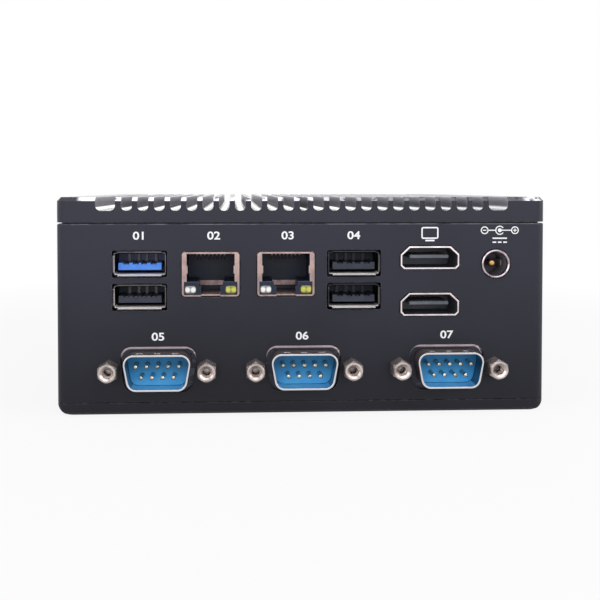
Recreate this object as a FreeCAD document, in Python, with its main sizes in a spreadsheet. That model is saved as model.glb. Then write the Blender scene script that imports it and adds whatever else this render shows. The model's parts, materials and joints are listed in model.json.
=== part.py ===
import FreeCAD, Part
import math
import os
import Sketcher

os.makedirs("parts", exist_ok=True)
document = FreeCAD.newDocument("box_computer")

# Driving sizes in millimetres. The photographed connector panel faces -Y and the fins face +Z.
SIZES = {
    # case
    "case_width": 127.0,
    "case_depth": 134.0,
    "case_height": 56.0,
    "corner_radius": 2.5,
    "inner_corner_radius": 1.0,
    "wall_thickness": 1.5,
    "seam_gap": 0.4,
    "seam_inset": 1.0,
    "edge_break": 0.2,
    "fit_clearance": 0.05,
    "slip_clearance": 0.25,
    "blind_skin": 0.5,
    "cut_overrun": 1.0,
    "weld_overlap": 0.5,
    # finned lid
    "lid_height": 6.5,
    "lid_chamfer": 1.0,
    "groove_depth": 3.5,
    "groove_width": 2.75,
    "groove_round": 1.2,
    "groove_pitch": 4.16,
    "groove_start": 3.86,
    "groove_count": 11,
    "centre_groove_width": 2.0,
    "centre_groove_round": 0.85,
    "wide_groove_width": 5.0,
    "wide_groove_round": 1.4,
    "wide_groove_shift": 1.28,
    "rib_width": 1.5,
    "rib_height": 1.5,
    "rib_post_gap": 4.4,
    "rib_end_inset": 21.5,
    # bottom cover
    "cover_height": 3.0,
    "cover_floor": 1.8,
    "cover_rim": 12.0,
    "bow_width": 4.2,
    "bow_radius": 4.6,
    "bow_overrun": 0.21,
    "foot_chamfer": 0.6,
    "bracket_spacing": 75.0,
    "nut_radius": 3.0,
    "nut_collar_radius": 4.0,
    "nut_collar_height": 2.5,
    "nut_thread_radius": 1.65,
    # tie screws
    "post_inset": 6.5,
    "post_setback": 17.0,
    "post_depth": 7.2,
    "post_reach": 3.5,
    "tie_radius": 1.45,
    "tie_head_radius": 2.8,
    "tie_head_recess": 0.4,
    "tie_drive_radius": 1.2,
    "tie_drive_depth": 1.2,
    "tie_tip_gap": 0.3,
    # mainboard
    "board_gap": 5.9,
    "board_thickness": 1.6,
    "board_side_gap": 11.5,
    "board_front_gap": 11.5,
    "board_setback": 1.0,
    "boss_radius": 3.2,
    "boss_inset": 15.5,
    "rear_boss_inset": 27.0,
    "front_boss_inset": 15.5,
    "board_screw_radius": 1.2,
    "board_screw_head_radius": 2.6,
    "board_screw_head_height": 1.6,
    "package_width": 27.0,
    "package_height": 1.0,
    "die_width": 12.0,
    "die_height": 0.4,
    "pad_height": 0.5,
    "pad_width": 16.0,
    "processor_place": 8.0,
    "pedestal_width": 30.0,
    "inductor_width": 6.5,
    "inductor_height": 2.6,
    "inductor_pitch": 8.0,
    "inductor_place": -26.0,
    "chip_height": 1.2,
    "hub_chip_width": 14.0,
    "hub_chip_x": 26.0,
    "hub_chip_y": -22.0,
    "network_chip_width": 9.0,
    "network_chip_x": -12.0,
    "network_chip_y": -24.0,
    "serial_chip_width": 10.0,
    "serial_chip_x": 30.0,
    "serial_chip_y": 12.0,
    # memory, storage and battery
    "card_thickness": 1.0,
    "card_chip_height": 1.0,
    "card_entry": 2.0,
    "socket_height": 5.0,
    "memory_length": 67.6,
    "memory_width": 30.0,
    "memory_socket_depth": 6.5,
    "memory_socket_margin": 3.0,
    "memory_header_gap": 2.0,
    "memory_lift": 1.2,
    "memory_chip_pitch": 16.0,
    "memory_chip_width": 11.0,
    "memory_chip_length": 12.0,
    "memory_chip_shift": 3.0,
    "storage_length": 42.0,
    "storage_width": 22.0,
    "storage_socket_depth": 6.0,
    "storage_socket_margin": 2.0,
    "storage_header_gap": 1.3,
    "storage_inset": 19.5,
    "storage_lift": 1.5,
    "storage_chip_pitch": 18.0,
    "storage_chip_width": 12.0,
    "storage_chip_length": 14.0,
    "battery_radius": 10.0,
    "battery_height": 3.2,
    "battery_place": 32.0,
    # connector places along the panel, measured on a panel of the first width here
    "measured_width": 127.0,
    "data_left_place": -42.2,
    "network_left_place": -24.0,
    "network_right_place": -4.6,
    "data_right_place": 13.1,
    "video_place": 32.9,
    "jack_place": 50.3,
    # data ports
    "data_drop": 4.8,
    "data_pitch": 8.5,
    "data_flare_width": 13.6,
    "data_flare_height": 6.5,
    "data_rim": 0.28,
    "data_tube_width": 13.3,
    "data_tube_height": 5.7,
    "data_mouth_width": 12.9,
    "data_mouth_height": 5.3,
    "data_lip": 0.4,
    "data_flare_root": 0.75,
    "data_throat_depth": 1.05,
    "data_notch_width": 2.4,
    "data_notch_height": 2.2,
    "data_notch_depth": 0.6,
    "data_cut_margin": 0.25,
    "data_tongue_width": 11.0,
    "data_tongue_height": 1.8,
    "data_tongue_drop": 0.65,
    "data_tongue_setback": 1.0,
    "data_base_length": 3.0,
    "data_depth": 17.0,
    "data_mouth_depth": 12.0,
    "data_channel_width": 1.5,
    "data_channel_depth": 0.4,
    "data_contact_width": 1.0,
    "data_contact_height": 0.2,
    "data_contact_length": 7.0,
    "data_contact_setback": 1.6,
    "data_contact_inner": 1.05,
    "data_contact_outer": 3.5,
    "data_contact_leg_width": 0.7,
    "data_contact_leg_gap": 0.4,
    # network jacks
    "network_drop": 7.5,
    "network_width": 14.8,
    "network_height": 11.4,
    "network_round": 0.9,
    "network_cut_margin": 0.2,
    "network_proud": 0.3,
    "network_depth": 17.0,
    "network_skin": 0.4,
    "network_side_wall": 1.25,
    "network_side_strip": 0.55,
    "network_foot_strip": 0.4,
    "network_foot_gap": 5.0,
    "network_tab_reach": 0.25,
    "network_tab_height": 2.0,
    "network_tab_lift": 1.2,
    "network_apron_setback": 0.12,
    "network_mouth_width": 12.4,
    "network_mouth_height": 7.2,
    "network_mouth_drop": 0.4,
    "network_mouth_depth": 13.0,
    "network_latch_width": 6.2,
    "network_latch_step": 1.1,
    "network_slot_width": 5.0,
    "network_slot_height": 2.6,
    "latch_room_width": 6.8,
    "latch_room_setback": 1.5,
    "ground_bar_drop": 3.5,
    "ground_bar_height": 1.3,
    "ground_bar_depth": 0.5,
    "lens_width": 3.0,
    "lens_height": 2.2,
    "lens_round": 0.7,
    "lens_edge_round": 0.35,
    "lens_offset": 5.2,
    "lens_drop": 3.95,
    "lens_depth": 4.0,
    "network_contact_width": 0.4,
    "network_contact_pitch": 1.02,
    "network_contact_start": 1.2,
    "network_contact_bend": 2.6,
    "network_contact_reach": 6.8,
    "network_contact_dip": 2.0,
    "network_contact_end": 0.5,
    # video ports
    "video_drop": 3.4,
    "video_pitch": 12.15,
    "video_width": 15.3,
    "video_height": 5.9,
    "video_top_width": 10.8,
    "video_slope": 2.1,
    "video_corner": 0.85,
    "video_skin": 0.37,
    "video_cut_margin": 0.25,
    "video_proud": 0.3,
    "video_depth": 15.0,
    "video_mouth_depth": 10.0,
    "video_tongue_width": 10.2,
    "video_tongue_height": 0.8,
    "video_tongue_lift": 0.25,
    "video_tongue_setback": 0.8,
    "video_contact_width": 0.45,
    "video_contact_height": 0.15,
    "video_contact_length": 8.0,
    "video_contact_setback": 1.2,
    "video_contact_pitch": 1.0,
    # power jack
    "jack_drop": 5.1,
    "jack_body_width": 8.0,
    "jack_body_depth": 11.5,
    "jack_body_foot": 0.6,
    "jack_sleeve_radius": 3.75,
    "jack_sleeve_seat": 2.0,
    "jack_sleeve_break": 0.25,
    "jack_bore_radius": 3.15,
    "jack_proud": 0.5,
    "jack_pin_radius": 1.05,
    "jack_pin_round": 0.75,
    "jack_pin_setback": 3.0,
    "jack_pin_cover": 1.0,
    "jack_bore_depth": 9.5,
    "jack_spring_gap": 0.45,
    "jack_spring_thickness": 0.3,
    "jack_spring_width": 1.6,
    # serial ports
    "serial_pitch": 37.5,
    "serial_height": 11.6,
    "serial_shell_width": 17.8,
    "serial_shell_height": 9.2,
    "serial_lean": 1.62,
    "serial_round": 2.5,
    "serial_skin": 0.4,
    "serial_proud": 4.8,
    "serial_flange_width": 30.8,
    "serial_flange_height": 12.5,
    "serial_flange_round": 1.25,
    "serial_flange_thickness": 0.8,
    "serial_cut_margin": 1.3,
    "serial_cut_round": 3.0,
    "serial_back_margin": 0.5,
    "serial_back_depth": 5.6,
    "serial_tail": 1.0,
    "serial_floor": 0.6,
    "dimple_pitch": 4.5,
    "dimple_width": 1.7,
    "dimple_length": 0.9,
    "dimple_depth": 0.2,
    "serial_pin_radius": 0.5,
    "serial_pin_break": 0.25,
    "serial_pin_setback": 0.9,
    "serial_pin_tail": 0.5,
    "serial_pin_pitch": 2.76,
    "serial_row_pitch": 2.84,
    "jackscrew_spacing": 25.0,
    "jackscrew_flats": 4.75,
    "jackscrew_length": 5.0,
    "jackscrew_crown_radius": 2.2,
    "jackscrew_bevel_height": 0.9,
    "jackscrew_countersink": 0.55,
    "jackscrew_thread_radius": 1.25,
    "jackscrew_thread_floor": 0.8,
    "jackscrew_stud_radius": 1.4,
    "jackscrew_stud_length": 5.0,
    "stud_boss_wall": 1.0,
    "stud_boss_tail": 0.2,
    "ribbon_width": 12.7,
    "ribbon_thickness": 0.9,
    "ribbon_bend": 6.0,
    "rear_header_inset": 26.0,
    "front_header_inset": 24.0,
    "header_width": 15.0,
    "header_depth": 5.4,
    "header_height": 8.0,
    # power button and lamp on the far side
    "button_inset": 18.5,
    "button_drop": 7.6,
    "button_radius": 4.9,
    "button_edge_round": 0.48,
    "button_flange_radius": 6.0,
    "button_flange_height": 1.0,
    "button_proud": 1.2,
    "button_stem_radius": 1.5,
    "button_board_setback": 8.0,
    "button_board_width": 26.0,
    "button_board_height": 14.0,
    "button_board_shift": 6.0,
    "button_screw_head_radius": 2.1,
    "button_screw_reach": 4.0,
    "switch_width": 6.0,
    "switch_height": 3.5,
    "switch_well": 1.5,
    "stem_entry": 0.6,
    "lamp_shift": 15.0,
    "lamp_radius": 1.5,
    "lamp_proud": 0.3,
    "lamp_edge_round": 0.18,
    "button_boss_shift": 8.5,
    "button_boss_lift": 4.5,
    "button_boss_radius": 2.0,
}

sheet = document.addObject("Spreadsheet::Sheet", "Sizes")
for row, (word, number) in enumerate(SIZES.items(), 1):
    sheet.set("A%d" % row, word)
    sheet.set("B%d" % row, str(number))
    sheet.setAlias("B%d" % row, word)
document.recompute()


class Size:
    """A length that carries both its number and the sheet formula it comes from."""

    def __init__(self, number, formula):
        self.number = number
        self.formula = formula

    @staticmethod
    def of(value):
        if isinstance(value, Size):
            return value
        return Size(value, "(%s)" % value)

    def join(self, sign, other, number):
        return Size(number, "(%s %s %s)" % (self.formula, sign, other.formula))

    def __add__(self, other):
        other = Size.of(other)
        return self.join("+", other, self.number + other.number)

    def __radd__(self, other):
        return Size.of(other) + self

    def __sub__(self, other):
        other = Size.of(other)
        return self.join("-", other, self.number - other.number)

    def __rsub__(self, other):
        return Size.of(other) - self

    def __mul__(self, other):
        other = Size.of(other)
        return self.join("*", other, self.number * other.number)

    def __rmul__(self, other):
        return Size.of(other) * self

    def __truediv__(self, other):
        other = Size.of(other)
        return self.join("/", other, self.number / other.number)

    def __neg__(self):
        return Size.of(0) - self


class Table:
    """Gives each sheet cell as a Size under its own word."""

    def __getattr__(self, word):
        return Size(SIZES[word], "Sizes." + word)


size = Table()
nodes = []

# Two places closer than this count as the same place when edges are picked.
NEAR = 0.01


def bind(item, name, value):
    item.setExpression(name, Size.of(value).formula)


def bind_place(item, place):
    for axis, value in zip("xyz", place):
        bind(item, "Placement.Base." + axis, value)


def turn(axis, degrees):
    return FreeCAD.Placement(FreeCAD.Vector(), FreeCAD.Rotation(axis, degrees))


def keep(item, name):
    """Marks a finished object as one named sub-part of the assembly."""
    item.Label = name
    nodes.append(item)
    return item


# Sketch outlines. Each function returns a drawing step that a sketch is handed later.


def spot(x, y):
    return FreeCAD.Vector(Size.of(x).number, Size.of(y).number, 0)


def hold(sketch, kind, geometry, point, value):
    """Holds one coordinate of a sketch point at a distance from the sketch origin."""
    value = Size.of(value)
    index = sketch.addConstraint(Sketcher.Constraint(kind, -1, 1, geometry, point, value.number))
    sketch.setExpression("Constraints[%d]" % index, value.formula)


def hold_radius(sketch, geometry, value):
    value = Size.of(value)
    index = sketch.addConstraint(Sketcher.Constraint("Radius", geometry, value.number))
    sketch.setExpression("Constraints[%d]" % index, value.formula)


def polygon(points):
    def draw(sketch):
        first = sketch.GeometryCount
        count = len(points)
        for index in range(count):
            start = spot(*points[index])
            end = spot(*points[(index + 1) % count])
            sketch.addGeometry(Part.LineSegment(start, end), False)
        for index in range(count):
            following = first + (index + 1) % count
            sketch.addConstraint(Sketcher.Constraint("Coincident", first + index, 2, following, 1))
        for index, (x, y) in enumerate(points):
            hold(sketch, "DistanceX", first + index, 1, x)
            hold(sketch, "DistanceY", first + index, 1, y)
    return draw


def circle(x, y, radius):
    def draw(sketch):
        first = sketch.GeometryCount
        normal = FreeCAD.Vector(0, 0, 1)
        sketch.addGeometry(Part.Circle(spot(x, y), normal, Size.of(radius).number), False)
        hold(sketch, "DistanceX", first, 3, x)
        hold(sketch, "DistanceY", first, 3, y)
        hold_radius(sketch, first, radius)
    return draw


def rectangle(x, y, width, height):
    right = x + width / 2
    left = x - width / 2
    top = y + height / 2
    bottom = y - height / 2
    return polygon([(left, bottom), (right, bottom), (right, top), (left, top)])


def rounded(x, y, width, height, radius):
    """Rectangle about a centre with four equal tangent corner arcs."""
    def draw(sketch):
        first = sketch.GeometryCount
        right = x + width / 2
        left = x - width / 2
        top = y + height / 2
        bottom = y - height / 2
        sides = [
            ((left + radius, bottom), (right - radius, bottom)),
            ((right, bottom + radius), (right, top - radius)),
            ((right - radius, top), (left + radius, top)),
            ((left, top - radius), (left, bottom + radius)),
        ]
        centres = [
            (right - radius, bottom + radius),
            (right - radius, top - radius),
            (left + radius, top - radius),
            (left + radius, bottom + radius),
        ]
        for start, end in sides:
            sketch.addGeometry(Part.LineSegment(spot(*start), spot(*end)), False)
        for index, centre in enumerate(centres):
            ring = Part.Circle(spot(*centre), FreeCAD.Vector(0, 0, 1), radius.number)
            start = math.radians(-90 + 90 * index)
            sketch.addGeometry(Part.ArcOfCircle(ring, start, start + math.pi / 2), False)
        for index in range(4):
            arc = first + 4 + index
            following = first + (index + 1) % 4
            sketch.addConstraint(Sketcher.Constraint("Tangent", first + index, 2, arc, 1))
            sketch.addConstraint(Sketcher.Constraint("Tangent", arc, 2, following, 1))
            kind = "Horizontal" if index % 2 == 0 else "Vertical"
            sketch.addConstraint(Sketcher.Constraint(kind, first + index))
        for arc in range(first + 5, first + 8):
            sketch.addConstraint(Sketcher.Constraint("Equal", first + 4, arc))
        hold(sketch, "DistanceY", first, 1, bottom)
        hold(sketch, "DistanceX", first + 1, 1, right)
        hold(sketch, "DistanceY", first + 2, 1, top)
        hold(sketch, "DistanceX", first + 3, 1, left)
        hold_radius(sketch, first + 4, radius)
    return draw


def bowed_edge(side):
    """Waste outline under one lower edge of the cover, bounded by a large arc."""
    inner = side * (size.case_width / 2 - size.bow_width)
    outer = side * (size.case_width / 2 + size.bow_overrun)
    radius = size.bow_radius
    below = -size.cut_overrun

    def draw(sketch):
        first = sketch.GeometryCount
        angle = math.asin((size.bow_width + size.bow_overrun).number / radius.number)
        rise = radius.number * (1 - math.cos(angle))
        ring = Part.Circle(spot(inner, radius), FreeCAD.Vector(0, 0, 1), radius.number)
        if side > 0:
            arc = Part.ArcOfCircle(ring, -math.pi / 2, -math.pi / 2 + angle)
        else:
            arc = Part.ArcOfCircle(ring, -math.pi / 2 - angle, -math.pi / 2)
        low_end = 1 if side > 0 else 2
        high_end = 2 if side > 0 else 1
        sketch.addGeometry(arc, False)
        sketch.addGeometry(Part.LineSegment(spot(outer, rise), spot(outer, below)), False)
        sketch.addGeometry(Part.LineSegment(spot(outer, below), spot(inner, below)), False)
        sketch.addGeometry(Part.LineSegment(spot(inner, below), spot(inner, 0)), False)
        sketch.addConstraint(Sketcher.Constraint("Coincident", first, high_end, first + 1, 1))
        sketch.addConstraint(Sketcher.Constraint("Coincident", first + 1, 2, first + 2, 1))
        sketch.addConstraint(Sketcher.Constraint("Coincident", first + 2, 2, first + 3, 1))
        sketch.addConstraint(Sketcher.Constraint("Coincident", first + 3, 2, first, low_end))
        sketch.addConstraint(Sketcher.Constraint("Vertical", first + 1))
        sketch.addConstraint(Sketcher.Constraint("Horizontal", first + 2))
        sketch.addConstraint(Sketcher.Constraint("Vertical", first + 3))
        hold(sketch, "DistanceX", first, 3, inner)
        hold(sketch, "DistanceY", first, 3, radius)
        hold_radius(sketch, first, radius)
        hold(sketch, "DistanceX", first + 1, 1, outer)
        hold(sketch, "DistanceY", first + 2, 1, below)
        hold(sketch, "DistanceX", first + 3, 1, inner)
    return draw


class Piece:
    """A body built from sketches on its own origin planes and placed in the assembly."""

    def __init__(self, name, place=(0, 0, 0), turned=False, kept=True):
        self.body = document.addObject("PartDesign::Body", name)
        if turned:
            self.body.Placement = turn(FreeCAD.Vector(0, 0, 1), 180)
        bind_place(self.body, place)
        self.body.Label = name
        if kept:
            keep(self.body, name)

    def origin(self, role):
        return [item for item in self.body.Origin.OriginFeatures if item.Role == role][0]

    def sketch(self, plane, level, outlines):
        sketch = self.body.newObject("Sketcher::SketchObject", "Outline")
        sketch.AttachmentSupport = [(self.origin(plane), "")]
        sketch.MapMode = "FlatFace"
        level = Size.of(level)
        bind(sketch, "AttachmentOffset.Base.z", -level if plane == "XZ_Plane" else level)
        for outline in outlines:
            outline(sketch)
        return sketch

    def solid(self, kind, sketch, low, high):
        feature = self.body.newObject("PartDesign::" + kind, kind)
        feature.Profile = sketch
        bind(feature, "Length", Size.of(high) - Size.of(low))
        self.body.Tip = feature
        return feature

    def pad(self, plane, low, high, outlines):
        """Adds material between two levels along the plane's axis."""
        level = high if plane == "XZ_Plane" else low
        return self.solid("Pad", self.sketch(plane, level, outlines), low, high)

    def pocket(self, plane, low, high, outlines):
        """Removes material between two levels along the plane's axis."""
        level = low if plane == "XZ_Plane" else high
        return self.solid("Pocket", self.sketch(plane, level, outlines), low, high)

    def loft(self, kind, ends):
        """Blends one XZ outline into another; ends holds two pairs of level and outline."""
        sketches = [self.sketch("XZ_Plane", level, [outline]) for level, outline in ends]
        feature = self.body.newObject("PartDesign::" + kind, kind)
        feature.Profile = sketches[0]
        feature.Sections = [sketches[1]]
        self.body.Tip = feature
        return feature

    def groove(self, plane, role, outlines):
        """Removes what an outline sweeps when it turns once around an axis of the body."""
        feature = self.body.newObject("PartDesign::Groove", "Groove")
        feature.Profile = self.sketch(plane, 0, outlines)
        feature.ReferenceAxis = (self.origin(role), [""])
        feature.Angle = 360.0
        self.body.Tip = feature
        return feature

    def repeat(self, feature, role, pitch, count, back):
        pattern = self.body.newObject("PartDesign::LinearPattern", "Row")
        pattern.Originals = [feature]
        pattern.Direction = (self.origin(role), [""])
        pattern.Reversed = back
        bind(pattern, "Length", pitch * (count - 1))
        bind(pattern, "Occurrences", count)
        self.body.Tip = pattern
        return pattern

    def dress(self, kind, amount, wanted):
        """Rounds or bevels the edges whose bounding box passes a test."""
        document.recompute()
        base = self.body.Tip
        names = []
        for index, edge in enumerate(base.Shape.Edges, 1):
            if wanted(edge.BoundBox):
                names.append("Edge%d" % index)
        feature = self.body.newObject("PartDesign::" + kind, kind)
        feature.Base = (base, names)
        bind(feature, "Radius" if kind == "Fillet" else "Size", amount)
        self.body.Tip = feature
        return feature


def along_y(corners):
    """Test for edges that run along Y through one of the given X, Z corners."""
    corners = [(Size.of(x).number, Size.of(z).number) for x, z in corners]

    def wanted(box):
        if box.XLength > NEAR or box.ZLength > NEAR:
            return False
        return any(abs(box.XMin - x) < NEAR and abs(box.ZMin - z) < NEAR for x, z in corners)
    return wanted


def along_x(y, z):
    """Test for edges that run along X through the given Y, Z corner."""
    def wanted(box):
        if box.YLength > NEAR or box.ZLength > NEAR:
            return False
        return abs(box.YMin - y.number) < NEAR and abs(box.ZMin - z.number) < NEAR
    return wanted


# Simple solids for small pieces.


def block(name, low, span):
    item = document.addObject("Part::Box", name)
    for dimension, value in zip(("Length", "Width", "Height"), span):
        bind(item, dimension, value)
    bind_place(item, low)
    return item


def block_at(name, x, y, low, span):
    """Block centred over a point, resting on a level."""
    return block(name, (x - span[0] / 2, y - span[1] / 2, low), span)


def rod(name, base, radius, length, axis="z"):
    item = document.addObject("Part::Cylinder", name)
    if axis == "y":
        item.Placement = turn(FreeCAD.Vector(1, 0, 0), -90)
    bind(item, "Radius", radius)
    bind(item, "Height", length)
    bind_place(item, base)
    return item


def cone(name, base, low_radius, high_radius, length):
    item = document.addObject("Part::Cone", name)
    bind(item, "Radius1", low_radius)
    bind(item, "Radius2", high_radius)
    bind(item, "Height", length)
    bind_place(item, base)
    return item


def prism(name, base, radius, length):
    """Six-sided prism, sized over its corners."""
    item = document.addObject("Part::Prism", name)
    item.Polygon = 6
    bind(item, "Circumradius", radius)
    bind(item, "Height", length)
    bind_place(item, base)
    return item


def fuse(name, pieces):
    item = document.addObject("Part::MultiFuse", name)
    item.Shapes = pieces
    return item


def cut(name, base, tools):
    item = document.addObject("Part::Cut", name)
    item.Base = base
    item.Tool = tools[0] if len(tools) == 1 else fuse(name + "_tools", tools)
    return item


def group(name, pieces):
    item = document.addObject("Part::Compound", name)
    item.Links = pieces
    return keep(item, name)


def copies(name, master, places, turned=False):
    """One node made of equal solids, each a placed link to the same master body."""
    links = []
    for place in places:
        link = document.addObject("App::Link", name + "_copy")
        link.LinkedObject = master
        if turned:
            link.Placement = turn(FreeCAD.Vector(0, 0, 1), 180)
        bind_place(link, place)
        links.append(link)
    return group(name, links)


# Levels and places shared by several pieces.
ZERO = Size.of(0.0)
SIDES = (-1, 1)
half_width = size.case_width / 2
half_depth = size.case_depth / 2
rear_face = -half_depth
lid_base = size.case_height - size.lid_height
housing_top = lid_base - size.seam_gap
inner_half_width = half_width - size.wall_thickness
inner_half_depth = half_depth - size.wall_thickness
outside = rear_face - size.cut_overrun
far_side = half_depth + size.cut_overrun
board_under = lid_base - size.board_gap
board_top = board_under + size.board_thickness
board_rear = -inner_half_depth + size.board_setback
board_front = half_depth - size.board_front_gap
tie_x = half_width - size.post_inset
tie_y = half_depth - size.post_setback
tie_spots = [(x * tie_x, y * tie_y) for x in SIDES for y in SIDES]
tie_bore = size.tie_radius + size.slip_clearance
bracket_reach = size.bracket_spacing / 2
bracket_spots = [(x * bracket_reach, y * bracket_reach) for x in SIDES for y in SIDES]
boss_rows = (rear_face + size.rear_boss_inset, half_depth - size.front_boss_inset)
boss_spots = [(x * (half_width - size.boss_inset), y) for x in SIDES for y in boss_rows]
rear_header = rear_face + size.rear_header_inset
front_header = half_depth - size.front_header_inset
data_upper = board_under - size.data_drop
data_levels = (data_upper, data_upper - size.data_pitch)
network_middle = board_under - size.network_drop
video_upper = board_under - size.video_drop
video_levels = (video_upper, video_upper - size.video_pitch)
jack_middle = board_under - size.jack_drop
button_middle = board_under - size.button_drop
button_x = size.button_inset - half_width
serial_places = (-size.serial_pitch, ZERO, size.serial_pitch)
serial_flange_back = size.wall_thickness + size.serial_flange_thickness
serial_back = serial_flange_back + size.serial_back_depth

# Ports keep their order and share out the room when the panel gets wider or narrower.
port_spread = size.case_width / size.measured_width
data_places = (size.data_left_place * port_spread, size.data_right_place * port_spread)
network_places = (size.network_left_place * port_spread, size.network_right_place * port_spread)
video_x = size.video_place * port_spread
jack_x = size.jack_place * port_spread


def case_outline(inset):
    return rounded(
        ZERO, ZERO, size.case_width - inset * 2, size.case_depth - inset * 2, size.corner_radius
    )


def mirrored(right):
    """Closes a right-hand outline, given from bottom to top, with its mirror image."""
    return right + [(-x, z) for x, z in reversed(right)]


def video_corners(grow):
    """Corners of the video port outline, narrow side up, grown outwards by a margin."""
    half = size.video_width / 2 + grow
    top = size.video_height / 2 + grow
    return mirrored([
        (size.video_width / 2 - size.video_corner + grow / 2, -top),
        (half, size.video_corner + grow / 2 - top),
        (half, top - size.video_slope - grow / 2),
        (size.video_top_width / 2 + grow / 2, top),
    ])


def serial_corners(grow):
    """Four corners of the serial port outline, wide side up, grown by a margin."""
    top_half = size.serial_shell_width / 2 + grow
    half_height = size.serial_shell_height / 2 + grow
    return mirrored([(top_half - size.serial_lean, -half_height), (top_half, half_height)])


def moved(corners, x, z):
    return [(x + across, z + up) for across, up in corners]


def make_lid():
    lid = Piece("heatsink_lid")
    top = size.case_height
    lid.pad("XY_Plane", lid_base, top, [case_outline(ZERO)])
    lid.dress("Chamfer", size.lid_chamfer, lambda box: box.ZMin > top.number - NEAR)
    floor = top - size.groove_depth

    def groove(place, width, radius):
        tall = size.groove_depth * 2
        return rounded(place, floor + tall / 2, width, tall, radius)

    centre = groove(ZERO, size.centre_groove_width, size.centre_groove_round)
    lid.pocket("XZ_Plane", outside, far_side, [centre])
    wide_place = size.groove_start + size.groove_pitch * size.groove_count + size.wide_groove_shift
    wide = [groove(side * wide_place, size.wide_groove_width, size.wide_groove_round) for side in SIDES]
    lid.pocket("XZ_Plane", outside, far_side, wide)
    for side in SIDES:
        narrow = groove(side * size.groove_start, size.groove_width, size.groove_round)
        first = lid.pocket("XZ_Plane", outside, far_side, [narrow])
        lid.repeat(first, "X_Axis", size.groove_pitch, size.groove_count, side < 0)
    lid.pad("XY_Plane", housing_top, lid_base, [case_outline(size.seam_inset)])
    rib_x = inner_half_width - size.slip_clearance - size.rib_width / 2
    rib_y = inner_half_depth - size.slip_clearance - size.rib_width / 2
    side_rib = (tie_y - size.post_depth / 2 - size.rib_post_gap) * 2
    end_rib = (half_width - size.rib_end_inset) * 2
    ribs = []
    for side in SIDES:
        ribs.append(rectangle(side * rib_x, ZERO, size.rib_width, side_rib))
        ribs.append(rectangle(ZERO, side * rib_y, end_rib, size.rib_width))
    lid.pad("XY_Plane", housing_top - size.rib_height, housing_top, ribs)
    bosses = [circle(x, y, size.boss_radius) for x, y in boss_spots]
    lid.pad("XY_Plane", board_top, housing_top, bosses)
    pedestal = rectangle(ZERO, size.processor_place, size.pedestal_width, size.pedestal_width)
    chip_top = board_top + size.package_height + size.die_height + size.pad_height
    lid.pad("XY_Plane", chip_top, housing_top, [pedestal])
    thread = size.tie_radius + size.fit_clearance
    thread_end = floor - size.blind_skin
    lid.pocket("XY_Plane", housing_top, thread_end, [circle(x, y, thread) for x, y in tie_spots])
    screw = size.board_screw_radius + size.fit_clearance
    lid.pocket("XY_Plane", board_top, lid_base, [circle(x, y, screw) for x, y in boss_spots])


def make_housing():
    housing = Piece("housing")
    inner = rounded(
        ZERO, ZERO, inner_half_width * 2, inner_half_depth * 2, size.inner_corner_radius
    )
    low = size.cover_height
    housing.pad("XY_Plane", low, housing_top, [case_outline(ZERO), inner])

    def outer_rim(box):
        level = abs(box.ZMin - low.number) < NEAR or abs(box.ZMin - housing_top.number) < NEAR
        far_x = max(abs(box.XMin), abs(box.XMax)) > half_width.number - NEAR
        far_y = max(abs(box.YMin), abs(box.YMax)) > half_depth.number - NEAR
        return level and box.ZLength < NEAR and (far_x or far_y)

    housing.dress("Chamfer", size.edge_break, outer_rim)
    wall_middle = size.wall_thickness / 2
    span = size.post_inset + size.post_reach - wall_middle
    posts = []
    for x_side in SIDES:
        for y_side in SIDES:
            x = x_side * (half_width - wall_middle - span / 2)
            posts.append(rectangle(x, y_side * tie_y, span, size.post_depth))
    housing.pad("XY_Plane", low, housing_top, posts)
    housing.pocket("XY_Plane", low, housing_top, [circle(x, y, tie_bore) for x, y in tie_spots])
    add_button_bosses(housing)
    cut_port_openings(housing)
    cut_serial_openings(housing, outside, -inner_half_depth)
    cut_serial_openings(housing, inner_half_depth, far_side)
    button = circle(button_x, button_middle, size.button_radius + size.slip_clearance)
    lamp = circle(button_x + size.lamp_shift, button_middle, size.lamp_radius + size.fit_clearance)
    housing.pocket("XZ_Plane", inner_half_depth, far_side, [button, lamp])


def button_boss_spots():
    x = button_x + size.button_boss_shift
    return [(x, button_middle + lift * size.button_boss_lift) for lift in SIDES]


def add_button_bosses(housing):
    """Two bosses inside the far wall that carry the small board behind the button."""
    board_face = half_depth - size.button_board_setback
    bosses = [circle(x, z, size.button_boss_radius) for x, z in button_boss_spots()]
    housing.pad("XZ_Plane", board_face, half_depth - size.wall_thickness / 2, bosses)
    thread = size.board_screw_radius + size.fit_clearance
    threads = [circle(x, z, thread) for x, z in button_boss_spots()]
    housing.pocket("XZ_Plane", board_face, inner_half_depth - size.blind_skin, threads)


def cut_port_openings(housing):
    """Openings for the upper row of ports in the photographed panel."""
    margin = size.data_cut_margin * 2
    width = size.data_flare_width + margin
    height = size.data_flare_height + margin
    data = [rounded(x, z, width, height, margin) for x in data_places for z in data_levels]
    margin = size.network_cut_margin * 2
    width = size.network_width + margin
    height = size.network_height + margin
    radius = size.network_round + size.network_cut_margin
    network = [rounded(x, network_middle, width, height, radius) for x in network_places]
    corners = video_corners(size.video_cut_margin)
    video = [polygon(moved(corners, video_x, z)) for z in video_levels]
    jack = circle(jack_x, jack_middle, size.jack_sleeve_radius + size.slip_clearance)
    for outlines in (data, network, video, [jack]):
        housing.pocket("XZ_Plane", outside, -inner_half_depth, outlines)


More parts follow.
